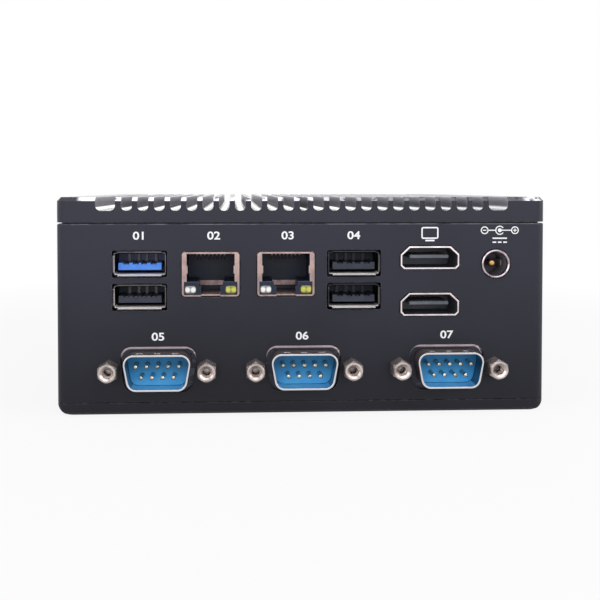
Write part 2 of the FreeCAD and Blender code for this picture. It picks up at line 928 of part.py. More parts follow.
def cut_serial_openings(housing, low, high):
    """Three rounded serial openings with their screw holes through one end wall."""
    corners = []
    screws = []
    radius = size.jackscrew_stud_radius + size.slip_clearance
    for place in serial_places:
        corners.append(moved(serial_corners(size.serial_cut_margin), place, size.serial_height))
        for side in SIDES:
            x = place + side * size.jackscrew_spacing / 2
            screws.append(circle(x, size.serial_height, radius))
    housing.pocket("XZ_Plane", low, high, [polygon(points) for points in corners])
    wanted = along_y([point for points in corners for point in points])
    rear = low.number < 0

    def on_this_wall(box):
        return wanted(box) and (box.YMax < 0) == rear

    housing.dress("Fillet", size.serial_cut_round, on_this_wall)
    housing.pocket("XZ_Plane", low, high, screws)


def make_cover():
    cover = Piece("bottom_cover")
    over = size.cut_overrun
    cover.pad("XY_Plane", ZERO, size.cover_height, [case_outline(ZERO)])
    cover.pocket("XZ_Plane", outside, far_side, [bowed_edge(side) for side in SIDES])
    wedge = size.foot_chamfer + over
    for side in SIDES:
        edge = side * half_depth
        beyond = edge + side * over
        cover.pocket("YZ_Plane", -half_width - over, half_width + over, [polygon([
            (beyond, -over), (edge - side * wedge, -over), (beyond, wedge),
        ])])
    rim = size.cover_rim * 2
    hollow = rounded(ZERO, ZERO, size.case_width - rim, size.case_depth - rim, size.corner_radius)
    cover.pocket("XY_Plane", size.cover_floor, size.cover_height, [hollow])
    bores = [circle(x, y, tie_bore) for x, y in tie_spots]
    cover.pocket("XY_Plane", -over, size.cover_height + over, bores)
    bevel = size.tie_head_radius - size.tie_radius + size.tie_head_recess

    def screw_mouth(box):
        round_edge = abs(box.XLength - 2 * tie_bore.number) < NEAR
        return round_edge and box.ZMax < NEAR and abs(box.XLength - box.YLength) < NEAR

    cover.dress("Chamfer", bevel, screw_mouth)
    seats = [circle(x, y, size.nut_radius + size.fit_clearance) for x, y in bracket_spots]
    cover.pocket("XY_Plane", -over, size.cover_height + over, seats)


def make_case_fasteners():
    over = size.cut_overrun
    weld = size.weld_overlap
    base = size.tie_head_recess + size.fit_clearance * 2
    tip = size.case_height - size.groove_depth - size.blind_skin - size.tie_tip_gap
    head = size.tie_head_radius - size.tie_radius
    screws = []
    for x, y in tie_spots:
        taper = cone("tie_head", (x, y, base), size.tie_head_radius, size.tie_radius, head)
        shank = rod("tie_shank", (x, y, base), size.tie_radius, tip - base)
        drive = prism("tie_drive", (x, y, base - weld), size.tie_drive_radius, size.tie_drive_depth + weld)
        screws.append(cut("tie_screw", fuse("tie_blank", [taper, shank]), [drive]))
    group("tie_screws", screws)
    floor = size.cover_floor
    collar_height = size.nut_collar_height
    nuts = []
    for x, y in bracket_spots:
        stem = rod("nut_stem", (x, y, 0), size.nut_radius, floor + weld)
        collar = rod("nut_collar", (x, y, floor), size.nut_collar_radius, collar_height)
        thread_length = floor + collar_height + over * 2
        thread = rod("nut_thread", (x, y, -over), size.nut_thread_radius, thread_length)
        nuts.append(cut("bracket_nut", fuse("nut_blank", [stem, collar]), [thread]))
    group("bracket_nuts", nuts)


def make_mainboard():
    over = size.cut_overrun
    width = (half_width - size.board_side_gap) * 2
    thickness = size.board_thickness
    blank = block(
        "board_blank", (-width / 2, board_rear, board_under), (width, board_front - board_rear, thickness)
    )
    bore = size.board_screw_radius + size.slip_clearance
    holes = []
    for x, y in boss_spots:
        holes.append(rod("board_hole", (x, y, board_under - over), bore, thickness + over * 2))
    keep(cut("mainboard", blank, holes), "mainboard")
    make_board_screws()
    place = size.processor_place
    span = size.package_width
    package = block_at("package", ZERO, place, board_top, (span, span, size.package_height))
    die_low = board_top + size.package_height / 2
    die_height = size.package_height / 2 + size.die_height
    die = block_at("die", ZERO, place, die_low, (size.die_width, size.die_width, die_height))
    keep(fuse("processor", [package, die]), "processor")
    pad_low = board_top + size.package_height + size.die_height
    pad_span = (size.pad_width, size.pad_width, size.pad_height)
    keep(block_at("thermal_pad", ZERO, place, pad_low, pad_span), "thermal_pad")
    inductors = []
    span = (size.inductor_width, size.inductor_width, size.inductor_height)
    for step in (-1, 0, 1):
        y = place + step * size.inductor_pitch
        inductors.append(block_at("inductor", size.inductor_place, y, board_top, span))
    group("power_inductors", inductors)
    chips = []
    for x, y, width in (
        (size.hub_chip_x, size.hub_chip_y, size.hub_chip_width),
        (size.network_chip_x, size.network_chip_y, size.network_chip_width),
        (size.serial_chip_x, size.serial_chip_y, size.serial_chip_width),
    ):
        chips.append(block_at("chip", x, y, board_top, (width, width, size.chip_height)))
    group("controller_chips", chips)


def make_board_screws():
    """Screws up into the lid's bosses, and two that hold the small board behind the button."""
    weld = size.weld_overlap
    radius = size.board_screw_radius
    head_height = size.board_screw_head_height
    screws = []
    length = housing_top - board_under - size.blind_skin
    for x, y in boss_spots:
        head_low = board_under - head_height
        head = rod("board_screw_head", (x, y, head_low), size.board_screw_head_radius, head_height)
        shank = rod("board_screw_shank", (x, y, board_under - weld), radius, length + weld)
        screws.append(fuse("board_screw", [head, shank]))
    board_back = half_depth - size.button_board_setback - size.board_thickness
    length = size.board_thickness + size.button_screw_reach
    for x, z in button_boss_spots():
        head_low = (x, board_back - head_height, z)
        head = rod("button_screw_head", head_low, size.button_screw_head_radius, head_height, "y")
        shank = rod("button_screw_shank", (x, board_back - weld, z), radius, length + weld, "y")
        screws.append(fuse("button_screw", [head, shank]))
    group("board_screws", screws)


def make_cards():
    """Memory and storage cards in their sockets, and the clock battery, under the mainboard."""
    slip = size.slip_clearance
    thickness = size.card_thickness
    slot_height = thickness + slip * 2
    chip_height = size.card_chip_height
    chip_body = chip_height + thickness / 2
    socket_low = board_under - size.socket_height

    depth = size.memory_socket_depth
    socket_y = rear_header + size.header_depth / 2 + size.memory_header_gap + depth / 2
    mouth_y = socket_y + depth / 2
    length = size.memory_length
    card_low = socket_low + size.memory_lift
    blank_length = length + size.memory_socket_margin * 2
    blank = block_at("socket_blank", ZERO, socket_y, socket_low, (blank_length, depth, size.socket_height))
    slot_depth = (size.card_entry + slip) * 2
    slot_span = (length + slip * 2, slot_depth, slot_height)
    slot = block_at("socket_slot", ZERO, mouth_y, card_low - slip, slot_span)
    keep(cut("memory_socket", blank, [slot]), "memory_socket")
    card_y = mouth_y - size.card_entry + size.memory_width / 2
    pieces = [block_at("memory_card", ZERO, card_y, card_low, (length, size.memory_width, thickness))]
    chip_span = (size.memory_chip_width, size.memory_chip_length, chip_body)
    for step in (-1.5, -0.5, 0.5, 1.5):
        x = step * size.memory_chip_pitch
        y = card_y + size.memory_chip_shift
        pieces.append(block_at("memory_chip", x, y, card_low - chip_height, chip_span))
    keep(fuse("memory_module", pieces), "memory_module")

    depth = size.storage_socket_depth
    width = size.storage_width
    margin = size.storage_socket_margin
    storage_y = front_header - size.header_depth / 2 - size.storage_header_gap - margin - width / 2
    socket_x = size.storage_inset - half_width
    mouth_x = socket_x + depth / 2
    card_low = socket_low + size.storage_lift
    blank_span = (depth, width + margin * 2, size.socket_height)
    blank = block_at("socket_blank", socket_x, storage_y, socket_low, blank_span)
    slot_span = (slot_depth, width + slip * 2, slot_height)
    slot = block_at("socket_slot", mouth_x, storage_y, card_low - slip, slot_span)
    keep(cut("storage_socket", blank, [slot]), "storage_socket")
    card_x = mouth_x - size.card_entry + size.storage_length / 2
    card_span = (size.storage_length, width, thickness)
    pieces = [block_at("storage_board", card_x, storage_y, card_low, card_span)]
    chip_span = (size.storage_chip_width, size.storage_chip_length, chip_body)
    for step in SIDES:
        x = card_x + step * size.storage_chip_pitch / 2
        pieces.append(block_at("storage_chip", x, storage_y, card_low - chip_height, chip_span))
    keep(fuse("storage_card", pieces), "storage_card")
    battery_low = (size.battery_place, storage_y, board_under - size.battery_height)
    battery = rod("clock_battery", battery_low, size.battery_radius, size.battery_height)
    keep(battery, "clock_battery")


def make_data_stack(name, place):
    """Stacked pair of data ports: shell with two flared mouths and a rear box."""
    shell = Piece(name, (place, rear_face, data_upper))
    levels = (ZERO, -size.data_pitch)
    lip = -size.data_lip
    body_front = size.wall_thickness + size.slip_clearance

    def mouth_ring(level, width, height):
        return rounded(ZERO, level, width, height, size.data_lip)

    def tube(level):
        return mouth_ring(level, size.data_tube_width, size.data_tube_height)

    def throat(level):
        return mouth_ring(level, size.data_mouth_width, size.data_mouth_height)

    box_low = -size.data_pitch - size.data_tube_height / 2
    box_high = size.data_drop
    box = rectangle(ZERO, (box_low + box_high) / 2, size.data_tube_width, box_high - box_low)
    shell.pad("XZ_Plane", body_front, size.data_depth, [box])
    tube_end = body_front + size.weld_overlap
    shell.pad("XZ_Plane", size.data_flare_root, tube_end, [tube(level) for level in levels])
    for level in levels:
        flare = mouth_ring(level, size.data_flare_width, size.data_flare_height)
        shell.loft("AdditiveLoft", [(size.data_flare_root, tube(level)), (lip, flare)])
    shell.pocket("XZ_Plane", lip, size.data_mouth_depth, [throat(level) for level in levels])
    rim = size.data_rim * 2
    for level in levels:
        mouth = mouth_ring(level, size.data_flare_width - rim, size.data_flare_height - rim)
        shell.loft("SubtractiveLoft", [(size.data_throat_depth, throat(level)), (lip, mouth)])
    notches = []
    for level in levels:
        for x in SIDES:
            for z in SIDES:
                corner_x = x * size.data_flare_width / 2
                corner_z = level + z * size.data_flare_height / 2
                notches.append(rectangle(
                    corner_x, corner_z, size.data_notch_width, size.data_notch_height
                ))
    shell.pocket("XZ_Plane", lip - size.cut_overrun, size.data_notch_depth, notches)


def data_contact_spots():
    inner = size.data_contact_inner
    outer = size.data_contact_outer
    return (-outer, -inner, inner, outer)


def make_data_tongue(name, place, levels):
    """Moulded tongues, each grooved for its contacts, on a base that fills the mouth's back."""
    fit = size.fit_clearance
    front = rear_face + size.data_tongue_setback
    base_front = size.data_mouth_depth - size.data_base_length
    reach = base_front - size.data_tongue_setback + size.weld_overlap
    base_span = (size.data_mouth_width - fit * 2, size.data_base_length, size.data_mouth_height - fit * 2)
    tongue_span = (size.data_tongue_width, reach, size.data_tongue_height)
    pieces = []
    for level in levels:
        base_low = level - size.data_mouth_height / 2 + fit
        base_y = rear_face + base_front + size.data_base_length / 2
        base = block_at(name + "_base", place, base_y, base_low, base_span)
        low = level - size.data_tongue_drop - size.data_tongue_height / 2
        tongue = block(name + "_bar", (place - size.data_tongue_width / 2, front, low), tongue_span)
        channel_low = low + size.data_tongue_height - size.data_channel_depth
        channel_y = front - size.cut_overrun
        length = size.data_contact_setback - size.data_tongue_setback + size.data_contact_length
        channel_span = (
            size.data_channel_width, length + size.cut_overrun, size.data_channel_depth + size.cut_overrun
        )
        channels = []
        for offset in data_contact_spots():
            channel_x = place + offset - size.data_channel_width / 2
            channels.append(block(name + "_channel", (channel_x, channel_y, channel_low), channel_span))
        pieces.append(cut(name + "_moulding", fuse(name + "_blank", [base, tongue]), channels))
    if len(pieces) == 1:
        keep(pieces[0], name)
    else:
        group(name, pieces)


def make_data_contacts():
    """Contacts that lie in the tongues' channels and rise at the back of each mouth."""
    span = (size.data_contact_width, size.data_contact_length, size.data_contact_height)
    front = rear_face + size.data_contact_setback
    leg_y = front + size.data_contact_length - size.data_contact_height / 2
    strips = []
    for place in data_places:
        for level in data_levels:
            low = level - size.data_tongue_drop + size.data_tongue_height / 2 - size.data_channel_depth
            high = level + size.data_mouth_height / 2 - size.data_contact_leg_gap
            leg_span = (size.data_contact_leg_width, size.data_contact_height, high - low)
            for offset in data_contact_spots():
                strip = block("strip", (place + offset - size.data_contact_width / 2, front, low), span)
                leg = block_at("leg", place + offset, leg_y, low, leg_span)
                strips.append(fuse("data_contact", [strip, leg]))
    group("data_contacts", strips)


def network_sill():
    """Level of the ledge under the plug mouth, from the middle of the jack."""
    return size.network_height / 2 - size.network_mouth_drop - size.network_mouth_height


def network_mouth():
    """Plug mouth and stepped latch slot, seen from the front."""
    top = size.network_height / 2 - size.network_mouth_drop
    sill = network_sill()
    step = sill - size.network_latch_step
    low = step - size.network_slot_height
    half = size.network_mouth_width / 2
    latch = size.network_latch_width / 2
    slot = size.network_slot_width / 2
    return polygon(mirrored([
        (slot, low), (slot, step), (latch, step), (latch, sill), (half, sill), (half, top)
    ]))


def network_front_opening():
    """Opening in the shield's front: sides with small tabs, the lamp ledge and a split foot below."""
    half_height = size.network_height / 2
    top = half_height - size.network_mouth_drop
    sill = network_sill()
    foot = size.network_foot_strip - half_height
    gap = size.network_foot_gap / 2
    wide = size.network_width / 2 - size.network_side_strip
    half = size.network_width / 2 - size.network_side_wall
    tab = half - size.network_tab_reach
    tab_low = size.network_tab_lift - size.network_tab_height / 2
    tab_high = size.network_tab_lift + size.network_tab_height / 2
    return polygon(mirrored([
        (gap, -half_height - size.cut_overrun), (gap, foot), (wide, foot), (wide, sill), (half, sill),
        (half, tab_low), (tab, tab_low), (tab, tab_high), (half, tab_high), (half, top),
    ]))


def make_network_jack(side_name, place):
    skin = size.network_skin
    fit = size.fit_clearance
    over = size.cut_overrun
    spot_low = (place, rear_face, network_middle)
    front = -size.network_proud
    shield = Piece(side_name + "_network_shield", spot_low)
    face = rounded(ZERO, ZERO, size.network_width, size.network_height, size.network_round)
    shield.pad("XZ_Plane", front, size.network_depth, [face])
    collar_low = size.network_height / 2 - size.network_round - skin
    collar_high = size.network_drop
    collar = rectangle(ZERO, (collar_low + collar_high) / 2, size.network_width, collar_high - collar_low)
    shield.pad("XZ_Plane", size.wall_thickness + over, size.network_depth, [collar])
    room_width = size.network_width - skin * 2
    room_height = size.network_height - skin * 2
    room = rectangle(ZERO, ZERO, room_width, room_height)
    shield.pocket("XZ_Plane", front + skin, size.network_depth + over, [room])
    shield.pocket("XZ_Plane", front - over, front + skin + over, [network_front_opening()])

    insert = Piece(side_name + "_network_insert", spot_low)
    insert_front = front + skin + fit
    filling = rectangle(ZERO, ZERO, room_width - fit * 2, room_height - fit * 2)
    insert.pad("XZ_Plane", insert_front, size.network_depth, [filling])
    apron_low = size.network_foot_strip - size.network_height / 2 + fit
    apron_high = network_sill() - fit
    apron_width = size.network_width - (size.network_side_strip + fit) * 2
    apron = rectangle(ZERO, (apron_low + apron_high) / 2, apron_width, apron_high - apron_low)
    apron_front = front + size.network_apron_setback
    insert.pad("XZ_Plane", apron_front, insert_front + size.weld_overlap, [apron])
    insert.pocket("XZ_Plane", front, size.network_mouth_depth, [network_mouth()])
    room_high = network_sill()
    room_low = room_high - size.network_latch_step - size.network_slot_height
    latch_room = rectangle(ZERO, (room_low + room_high) / 2, size.latch_room_width, room_high - room_low)
    insert.pocket("XZ_Plane", size.latch_room_setback, size.network_mouth_depth, [latch_room])
    windows = []
    for side in SIDES:
        x = side * size.lens_offset
        windows.append(rounded(x, -size.lens_drop, size.lens_width, size.lens_height, size.lens_round))
    insert.pocket("XZ_Plane", front, size.lens_depth, windows)


def make_network_small_parts():
    fit = size.fit_clearance
    lens = Piece("network_lens", kept=False)
    width = size.lens_width - fit * 2
    height = size.lens_height - fit * 2
    lens_length = size.lens_depth + size.network_proud - fit
    lens.pad("XZ_Plane", ZERO, lens_length, [rounded(ZERO, ZERO, width, height, size.lens_round - fit)])
    lens.dress("Fillet", size.lens_edge_round, lambda box: box.YMax < NEAR)
    for name, side in (("network_clear_lenses", -1), ("network_yellow_lenses", 1)):
        places = []
        for place in network_places:
            x = place + side * size.lens_offset
            places.append((x, rear_face - size.network_proud + fit, network_middle - size.lens_drop))
        copies(name, lens.body, places)
    bars = []
    bar_span = (size.latch_room_width - fit * 2, size.ground_bar_depth, size.ground_bar_height)
    bar_y = rear_face + size.network_mouth_depth - size.ground_bar_depth / 2
    bar_low = network_middle - size.ground_bar_drop - size.ground_bar_height / 2
    for place in network_places:
        bars.append(block_at("ground_bar", place, bar_y, bar_low, bar_span))
    group("network_ground_bars", bars)
    make_network_contacts()


def make_network_contacts():
    """Eight sprung wires under the roof of each plug mouth."""
    wire = size.network_contact_width
    start = size.network_contact_start
    reach = size.network_contact_reach
    end = size.network_mouth_depth - size.network_contact_end
    dip = -size.network_contact_dip
    contact = Piece("network_contact", kept=False)
    contact.pad("YZ_Plane", -wire / 2, wire / 2, [polygon([
        (end, ZERO), (start, ZERO), (start, -wire), (reach, dip), (reach + wire / 2, dip + wire),
        (size.network_contact_bend, -wire), (end, -wire),
    ])])
    level = network_middle + size.network_height / 2 - size.network_mouth_drop
    places = []
    for place in network_places:
        for step in range(8):
            places.append((place + (step - 3.5) * size.network_contact_pitch, rear_face, level))
    copies("network_contacts", contact.body, places)


def make_video_ports():
    shell = Piece("video_shell", (video_x, rear_face, video_upper))
    levels = (ZERO, -size.video_pitch)
    box_low = -size.video_pitch - size.video_height / 2
    box_high = size.video_drop
    box = rectangle(ZERO, (box_low + box_high) / 2, size.video_width, box_high - box_low)
    shell.pad("XZ_Plane", size.wall_thickness + size.slip_clearance, size.video_depth, [box])
    front = -size.video_proud
    tubes = [polygon(moved(video_corners(ZERO), ZERO, level)) for level in levels]
    shell.pad("XZ_Plane", front, size.wall_thickness + size.cut_overrun, tubes)
    mouths = [polygon(moved(video_corners(-size.video_skin), ZERO, level)) for level in levels]
    shell.pocket("XZ_Plane", front - size.cut_overrun, size.video_mouth_depth, mouths)
    setback = size.video_tongue_setback
    tongue_span = (size.video_tongue_width, size.video_mouth_depth - setback, size.video_tongue_height)
    contact_span = (size.video_contact_width, size.video_contact_length, size.video_contact_height)
    contact_y = rear_face + size.video_contact_setback
    strips = []
    for name, level in zip(("upper_video_tongue", "lower_video_tongue"), video_levels):
        low = level + size.video_tongue_lift - size.video_tongue_height / 2
        tongue_x = video_x - size.video_tongue_width / 2
        keep(block(name, (tongue_x, rear_face + setback, low), tongue_span), name)
        for step in range(10):
            x = video_x + (step - 4.5) * size.video_contact_pitch - size.video_contact_width / 2
            contact_low = (x, contact_y, low + size.video_tongue_height)
            strips.append(block("video_contact", contact_low, contact_span))
    group("video_contacts", strips)


def make_power_jack():
    fit = size.fit_clearance
    place = (jack_x, rear_face, jack_middle)
    low = -size.jack_sleeve_radius - size.jack_body_foot
    high = size.jack_drop
    front = size.wall_thickness + size.slip_clearance
    seat = front + size.jack_sleeve_seat
    pin_end = front + size.jack_body_depth - size.jack_pin_cover
    body = Piece("power_jack_body", place)
    body.pad("XZ_Plane", front, front + size.jack_body_depth, [
        rectangle(ZERO, (low + high) / 2, size.jack_body_width, high - low)
    ])
    body.pocket("XZ_Plane", front, seat, [circle(ZERO, ZERO, size.jack_sleeve_radius + fit)])
    body.pocket("XZ_Plane", front, size.jack_bore_depth, [circle(ZERO, ZERO, size.jack_bore_radius)])
    body.pocket("XZ_Plane", front, pin_end, [circle(ZERO, ZERO, size.jack_pin_radius + fit)])
    sleeve = Piece("power_jack_sleeve", place)
    sleeve.pad("XZ_Plane", -size.jack_proud, seat - fit, [
        circle(ZERO, ZERO, size.jack_sleeve_radius), circle(ZERO, ZERO, size.jack_bore_radius)
    ])
    lip = NEAR - size.jack_proud.number
    sleeve.dress("Chamfer", size.jack_sleeve_break, lambda box: box.YMax < lip)
    pin = Piece("power_jack_pin", place)
    pin.pad("XZ_Plane", size.jack_pin_setback, pin_end - fit, [circle(ZERO, ZERO, size.jack_pin_radius)])
    tip = size.jack_pin_setback.number + NEAR
    pin.dress("Fillet", size.jack_pin_round, lambda box: box.YMax < tip)
    spring_x = jack_x + size.jack_bore_radius - size.jack_spring_gap - size.jack_spring_thickness
    spring_low = (spring_x, rear_face + seat, jack_middle - size.jack_spring_width / 2)
    spring_span = (size.jack_spring_thickness, size.jack_bore_depth - seat, size.jack_spring_width)
    keep(block("power_jack_spring", spring_low, spring_span), "power_jack_spring")


def make_serial_port(side_name, number, place, turned):
    """Nine-way serial port: stamped shell with flange, and a moulded insulator."""
    fit = size.fit_clearance
    over = size.cut_overrun
    skin = size.serial_skin
    face = half_depth if turned else rear_face
    spot_low = (-place if turned else place, face, size.serial_height)
    flange = size.wall_thickness
    front = -size.serial_proud
    outer = serial_corners(ZERO)
    inner = serial_corners(-skin)
    shell = Piece("%s_serial_shell_%d" % (side_name, number), spot_low, turned)
    plate = rounded(
        ZERO, ZERO, size.serial_flange_width, size.serial_flange_height, size.serial_flange_round
    )
    shell.pad("XZ_Plane", flange, serial_flange_back, [plate])
    shell.pad("XZ_Plane", front, flange, [polygon(outer)])
    shell.pocket("XZ_Plane", front - over, serial_flange_back + over, [polygon(inner)])
    shell.dress("Fillet", size.serial_round - skin, along_y(inner))
    shell.dress("Fillet", size.serial_round, along_y(outer))
    width = size.serial_shell_width + size.serial_back_margin * 2
    height = size.serial_shell_height + size.serial_back_margin * 2
    room_width = width - skin * 2
    room_height = height - skin * 2
    shell.pad("XZ_Plane", serial_flange_back, serial_back, [
        rectangle(ZERO, ZERO, width, height), rectangle(ZERO, ZERO, room_width, room_height)
    ])
    bosses = []
    threads = []
    for side in SIDES:
        x = side * size.jackscrew_spacing / 2
        bosses.append(circle(x, ZERO, size.jackscrew_stud_radius + size.stud_boss_wall))
        threads.append(circle(x, ZERO, size.jackscrew_stud_radius + fit))
    boss_back = size.jackscrew_stud_length + size.stud_boss_tail
    shell.pad("XZ_Plane", serial_flange_back, boss_back, bosses)
    shell.pocket("XZ_Plane", flange - over, boss_back + over, threads)
    top = size.serial_shell_height / 2
    dimples = []
    for step in (-1, 0, 1):
        x = step * size.dimple_pitch
        dimples.append(rectangle(x, front / 2, size.dimple_width, size.dimple_length))
    shell.pocket("XY_Plane", top - size.dimple_depth, top + over, dimples)

    insulator = Piece("%s_serial_insulator_%d" % (side_name, number), spot_low, turned)
    plug = serial_corners(-skin - fit)
    insulator.pad("XZ_Plane", size.serial_floor, serial_flange_back, [polygon(plug)])
    insulator.dress("Fillet", size.serial_round - skin - fit, along_y(plug))
    insulator.pad("XZ_Plane", serial_flange_back, serial_back + size.serial_tail, [
        rectangle(ZERO, ZERO, room_width - fit * 2, room_height - fit * 2)
    ])
    holes = [circle(x, z, size.serial_pin_radius + fit) for x, z in serial_pin_spots()]
    hole_end = serial_back + size.serial_pin_tail + fit
    insulator.pocket("XZ_Plane", size.serial_floor - over, hole_end, holes)


def serial_pin_spots():
    spots = []
    for step in (-2, -1, 0, 1, 2):
        spots.append((step * size.serial_pin_pitch, size.serial_row_pitch / 2))
    for step in (-1.5, -0.5, 0.5, 1.5):
        spots.append((step * size.serial_pin_pitch, -size.serial_row_pitch / 2))
    return spots


def serial_pin():
    front = size.serial_pin_setback - size.serial_proud
    pin = Piece("serial_pin", kept=False)
    pin.pad("XZ_Plane", front, serial_back + size.serial_pin_tail, [
        circle(ZERO, ZERO, size.serial_pin_radius)
    ])
    pin.dress("Chamfer", size.serial_pin_break, lambda box: box.YMax < front.number + NEAR)
    return pin.body


def jackscrew():
    """Hexagonal standoff with a turned crown, a countersunk thread and a stud behind."""
    over = size.cut_overrun
    ring = size.jackscrew_flats / (2 * math.cos(math.pi / 6))
    hexagon = []
    for step in range(6):
        angle = math.pi / 6 + math.pi / 3 * step
        hexagon.append((ring * math.cos(angle), ring * math.sin(angle)))
    tip = -size.jackscrew_length
    crown = size.jackscrew_crown_radius
    screw = Piece("jackscrew", kept=False)
    screw.pad("XZ_Plane", tip, ZERO, [polygon(hexagon)])
    slope = size.jackscrew_bevel_height / (ring - crown)
    rise = (ring + over - crown) * slope
    screw.groove("XY_Plane", "Y_Axis", [polygon([
        (crown, tip - over), (ring + over, tip - over), (ring + over, tip + rise), (crown, tip)
    ])])
    stud = circle(ZERO, ZERO, size.jackscrew_stud_radius)
    screw.pad("XZ_Plane", -size.weld_overlap, size.jackscrew_stud_length, [stud])
    thread = size.jackscrew_thread_radius
    screw.pocket("XZ_Plane", tip - over, -size.jackscrew_thread_floor, [circle(ZERO, ZERO, thread)])

    def thread_mouth(box):
        small = abs(box.XLength - 2 * thread.number) < NEAR
        return small and box.YMax < tip.number + NEAR

    screw.dress("Chamfer", size.jackscrew_countersink, thread_mouth)
    return screw.body


def make_serial_small_parts():
    pin = serial_pin()
    screw = jackscrew()
    for side_name, turned in (("rear", False), ("front", True)):
        face = half_depth if turned else rear_face
        pins = []
        screws = []
        for place in serial_places:
            for x, z in serial_pin_spots():
                pins.append((place + (-x if turned else x), face, size.serial_height + z))
            for side in SIDES:
                screws.append((place + side * size.jackscrew_spacing / 2, face, size.serial_height))
        copies(side_name + "_serial_pins", pin, pins, turned)
        copies(side_name + "_jackscrews", screw, screws, turned)


def make_ribbons():
    """Flat ribbons from the board headers down to the backs of the serial ports."""
    headers = []
    ribbons = []
    header_low = board_under - size.header_height
    header_span = (size.header_width, size.header_depth, size.header_height)
    half = size.ribbon_thickness / 2
    level = size.serial_height
    for sign, header_y in ((-1, rear_header), (1, front_header)):
        port_end = sign * (half_depth - serial_back - size.serial_tail)
        near = header_y + sign * half
        far = header_y - sign * half
        outline = [
            (near, header_low), (near, level + half), (port_end, level + half),
            (port_end, level - half), (far, level - half), (far, header_low),
        ]
        for place in serial_places:
            headers.append(block_at("header", place, header_y, header_low, header_span))
            ribbon = Piece("ribbon", (place, 0, 0), kept=False)
            ribbon.pad("YZ_Plane", -size.ribbon_width / 2, size.ribbon_width / 2, [polygon(outline)])
            ribbon.dress("Fillet", size.ribbon_bend, along_x(near, level + half))
            outer_bend = size.ribbon_bend + size.ribbon_thickness
            ribbon.dress("Fillet", outer_bend, along_x(far, level - half))
            ribbons.append(ribbon.body)
    group("serial_headers", headers)
    group("serial_ribbons", ribbons)


def make_button():
    """Power button on the far side, its switch on a small board, and the lamp beside it."""
    slip = size.slip_clearance
    place = (button_x, half_depth, button_middle)
    board_face = size.button_board_setback
    board_back = board_face + size.board_thickness
    switch_face = board_face - size.switch_height
    flange_low = size.wall_thickness + slip
    flange_high = flange_low + size.button_flange_height
    button = Piece("power_button", place, True)
    button.pad("XZ_Plane", -size.button_proud, flange_low, [circle(ZERO, ZERO, size.button_radius)])
    edge = NEAR - size.button_proud.number
    button.dress("Fillet", size.button_edge_round, lambda box: box.YMax < edge)
    button.pad("XZ_Plane", flange_low, flange_high, [circle(ZERO, ZERO, size.button_flange_radius)])
    stem = circle(ZERO, ZERO, size.button_stem_radius)
    button.pad("XZ_Plane", flange_high, switch_face + size.stem_entry, [stem])
    switch = Piece("button_switch", place, True)
    block_face = rectangle(ZERO, ZERO, size.switch_width, size.switch_width)
    switch.pad("XZ_Plane", switch_face, board_face, [block_face])
    well = circle(ZERO, ZERO, size.button_stem_radius + slip)
    switch.pocket("XZ_Plane", switch_face, switch_face + size.stem_entry + size.switch_well, [well])
    board = Piece("button_board", place, True)
    plate = rectangle(
        -size.button_board_shift, ZERO, size.button_board_width, size.button_board_height
    )
    board.pad("XZ_Plane", board_face, board_back, [plate])
    bore = size.board_screw_radius + slip
    bores = [circle(-size.button_boss_shift, lift * size.button_boss_lift, bore) for lift in SIDES]
    board.pocket("XZ_Plane", board_face, board_back, bores)
    lamp = Piece("power_lamp", place, True)
    lamp.pad("XZ_Plane", -size.lamp_proud, board_face, [circle(-size.lamp_shift, ZERO, size.lamp_radius)])
    lamp_edge = NEAR - size.lamp_proud.number
    lamp.dress("Fillet", size.lamp_edge_round, lambda box: box.YMax < lamp_edge)


make_lid()
make_housing()
make_cover()
make_case_fasteners()
make_mainboard()
make_cards()
make_data_stack("left_data_shell", data_places[0])
make_data_stack("right_data_shell", data_places[1])
make_data_tongue("left_data_upper_tongue", data_places[0], data_levels[:1])
make_data_tongue("left_data_lower_tongue", data_places[0], data_levels[1:])
make_data_tongue("right_data_tongues", data_places[1], data_levels)
make_data_contacts()
make_network_jack("left", network_places[0])
make_network_jack("right", network_places[1])
make_network_small_parts()
make_video_ports()
make_power_jack()
for side_name, turned in (("rear", False), ("front", True)):
    for number, place in enumerate(serial_places, 1):
        make_serial_port(side_name, number, place, turned)
make_serial_small_parts()
make_ribbons()
make_button()
document.recompute()

for item in document.Objects:
    if "Invalid" in item.State or "Error" in item.State:
        raise ValueError("%s did not build: %s" % (item.Label, item.State))
for item in nodes:
    if item.Shape.isNull() or not item.Shape.isValid():
        raise ValueError("%s has no valid shape" % item.Label)
    item.Shape.exportStep("parts/%s.step" % item.Label)
    solids = item.Shape.Solids
    volume = sum(solid.Volume for solid in solids)
    print("%s: %d solids, %.1f mm3" % (item.Label, len(solids), volume))
print("%d sub-parts" % len(nodes))
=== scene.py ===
# %% [markdown]
# # A fanless box computer, dressed for the camera
# The solids of the computer arrive as a fixed frame: a finned lid, a housing with two rows of
# connectors and a cover underneath. This lesson gives every piece its finish, adds what is too
# fine for the solids (printed signs, screw threads), and sets up a small white studio.

# %% Load the frame
import json
import math

import bpy
from mathutils import Matrix, Vector


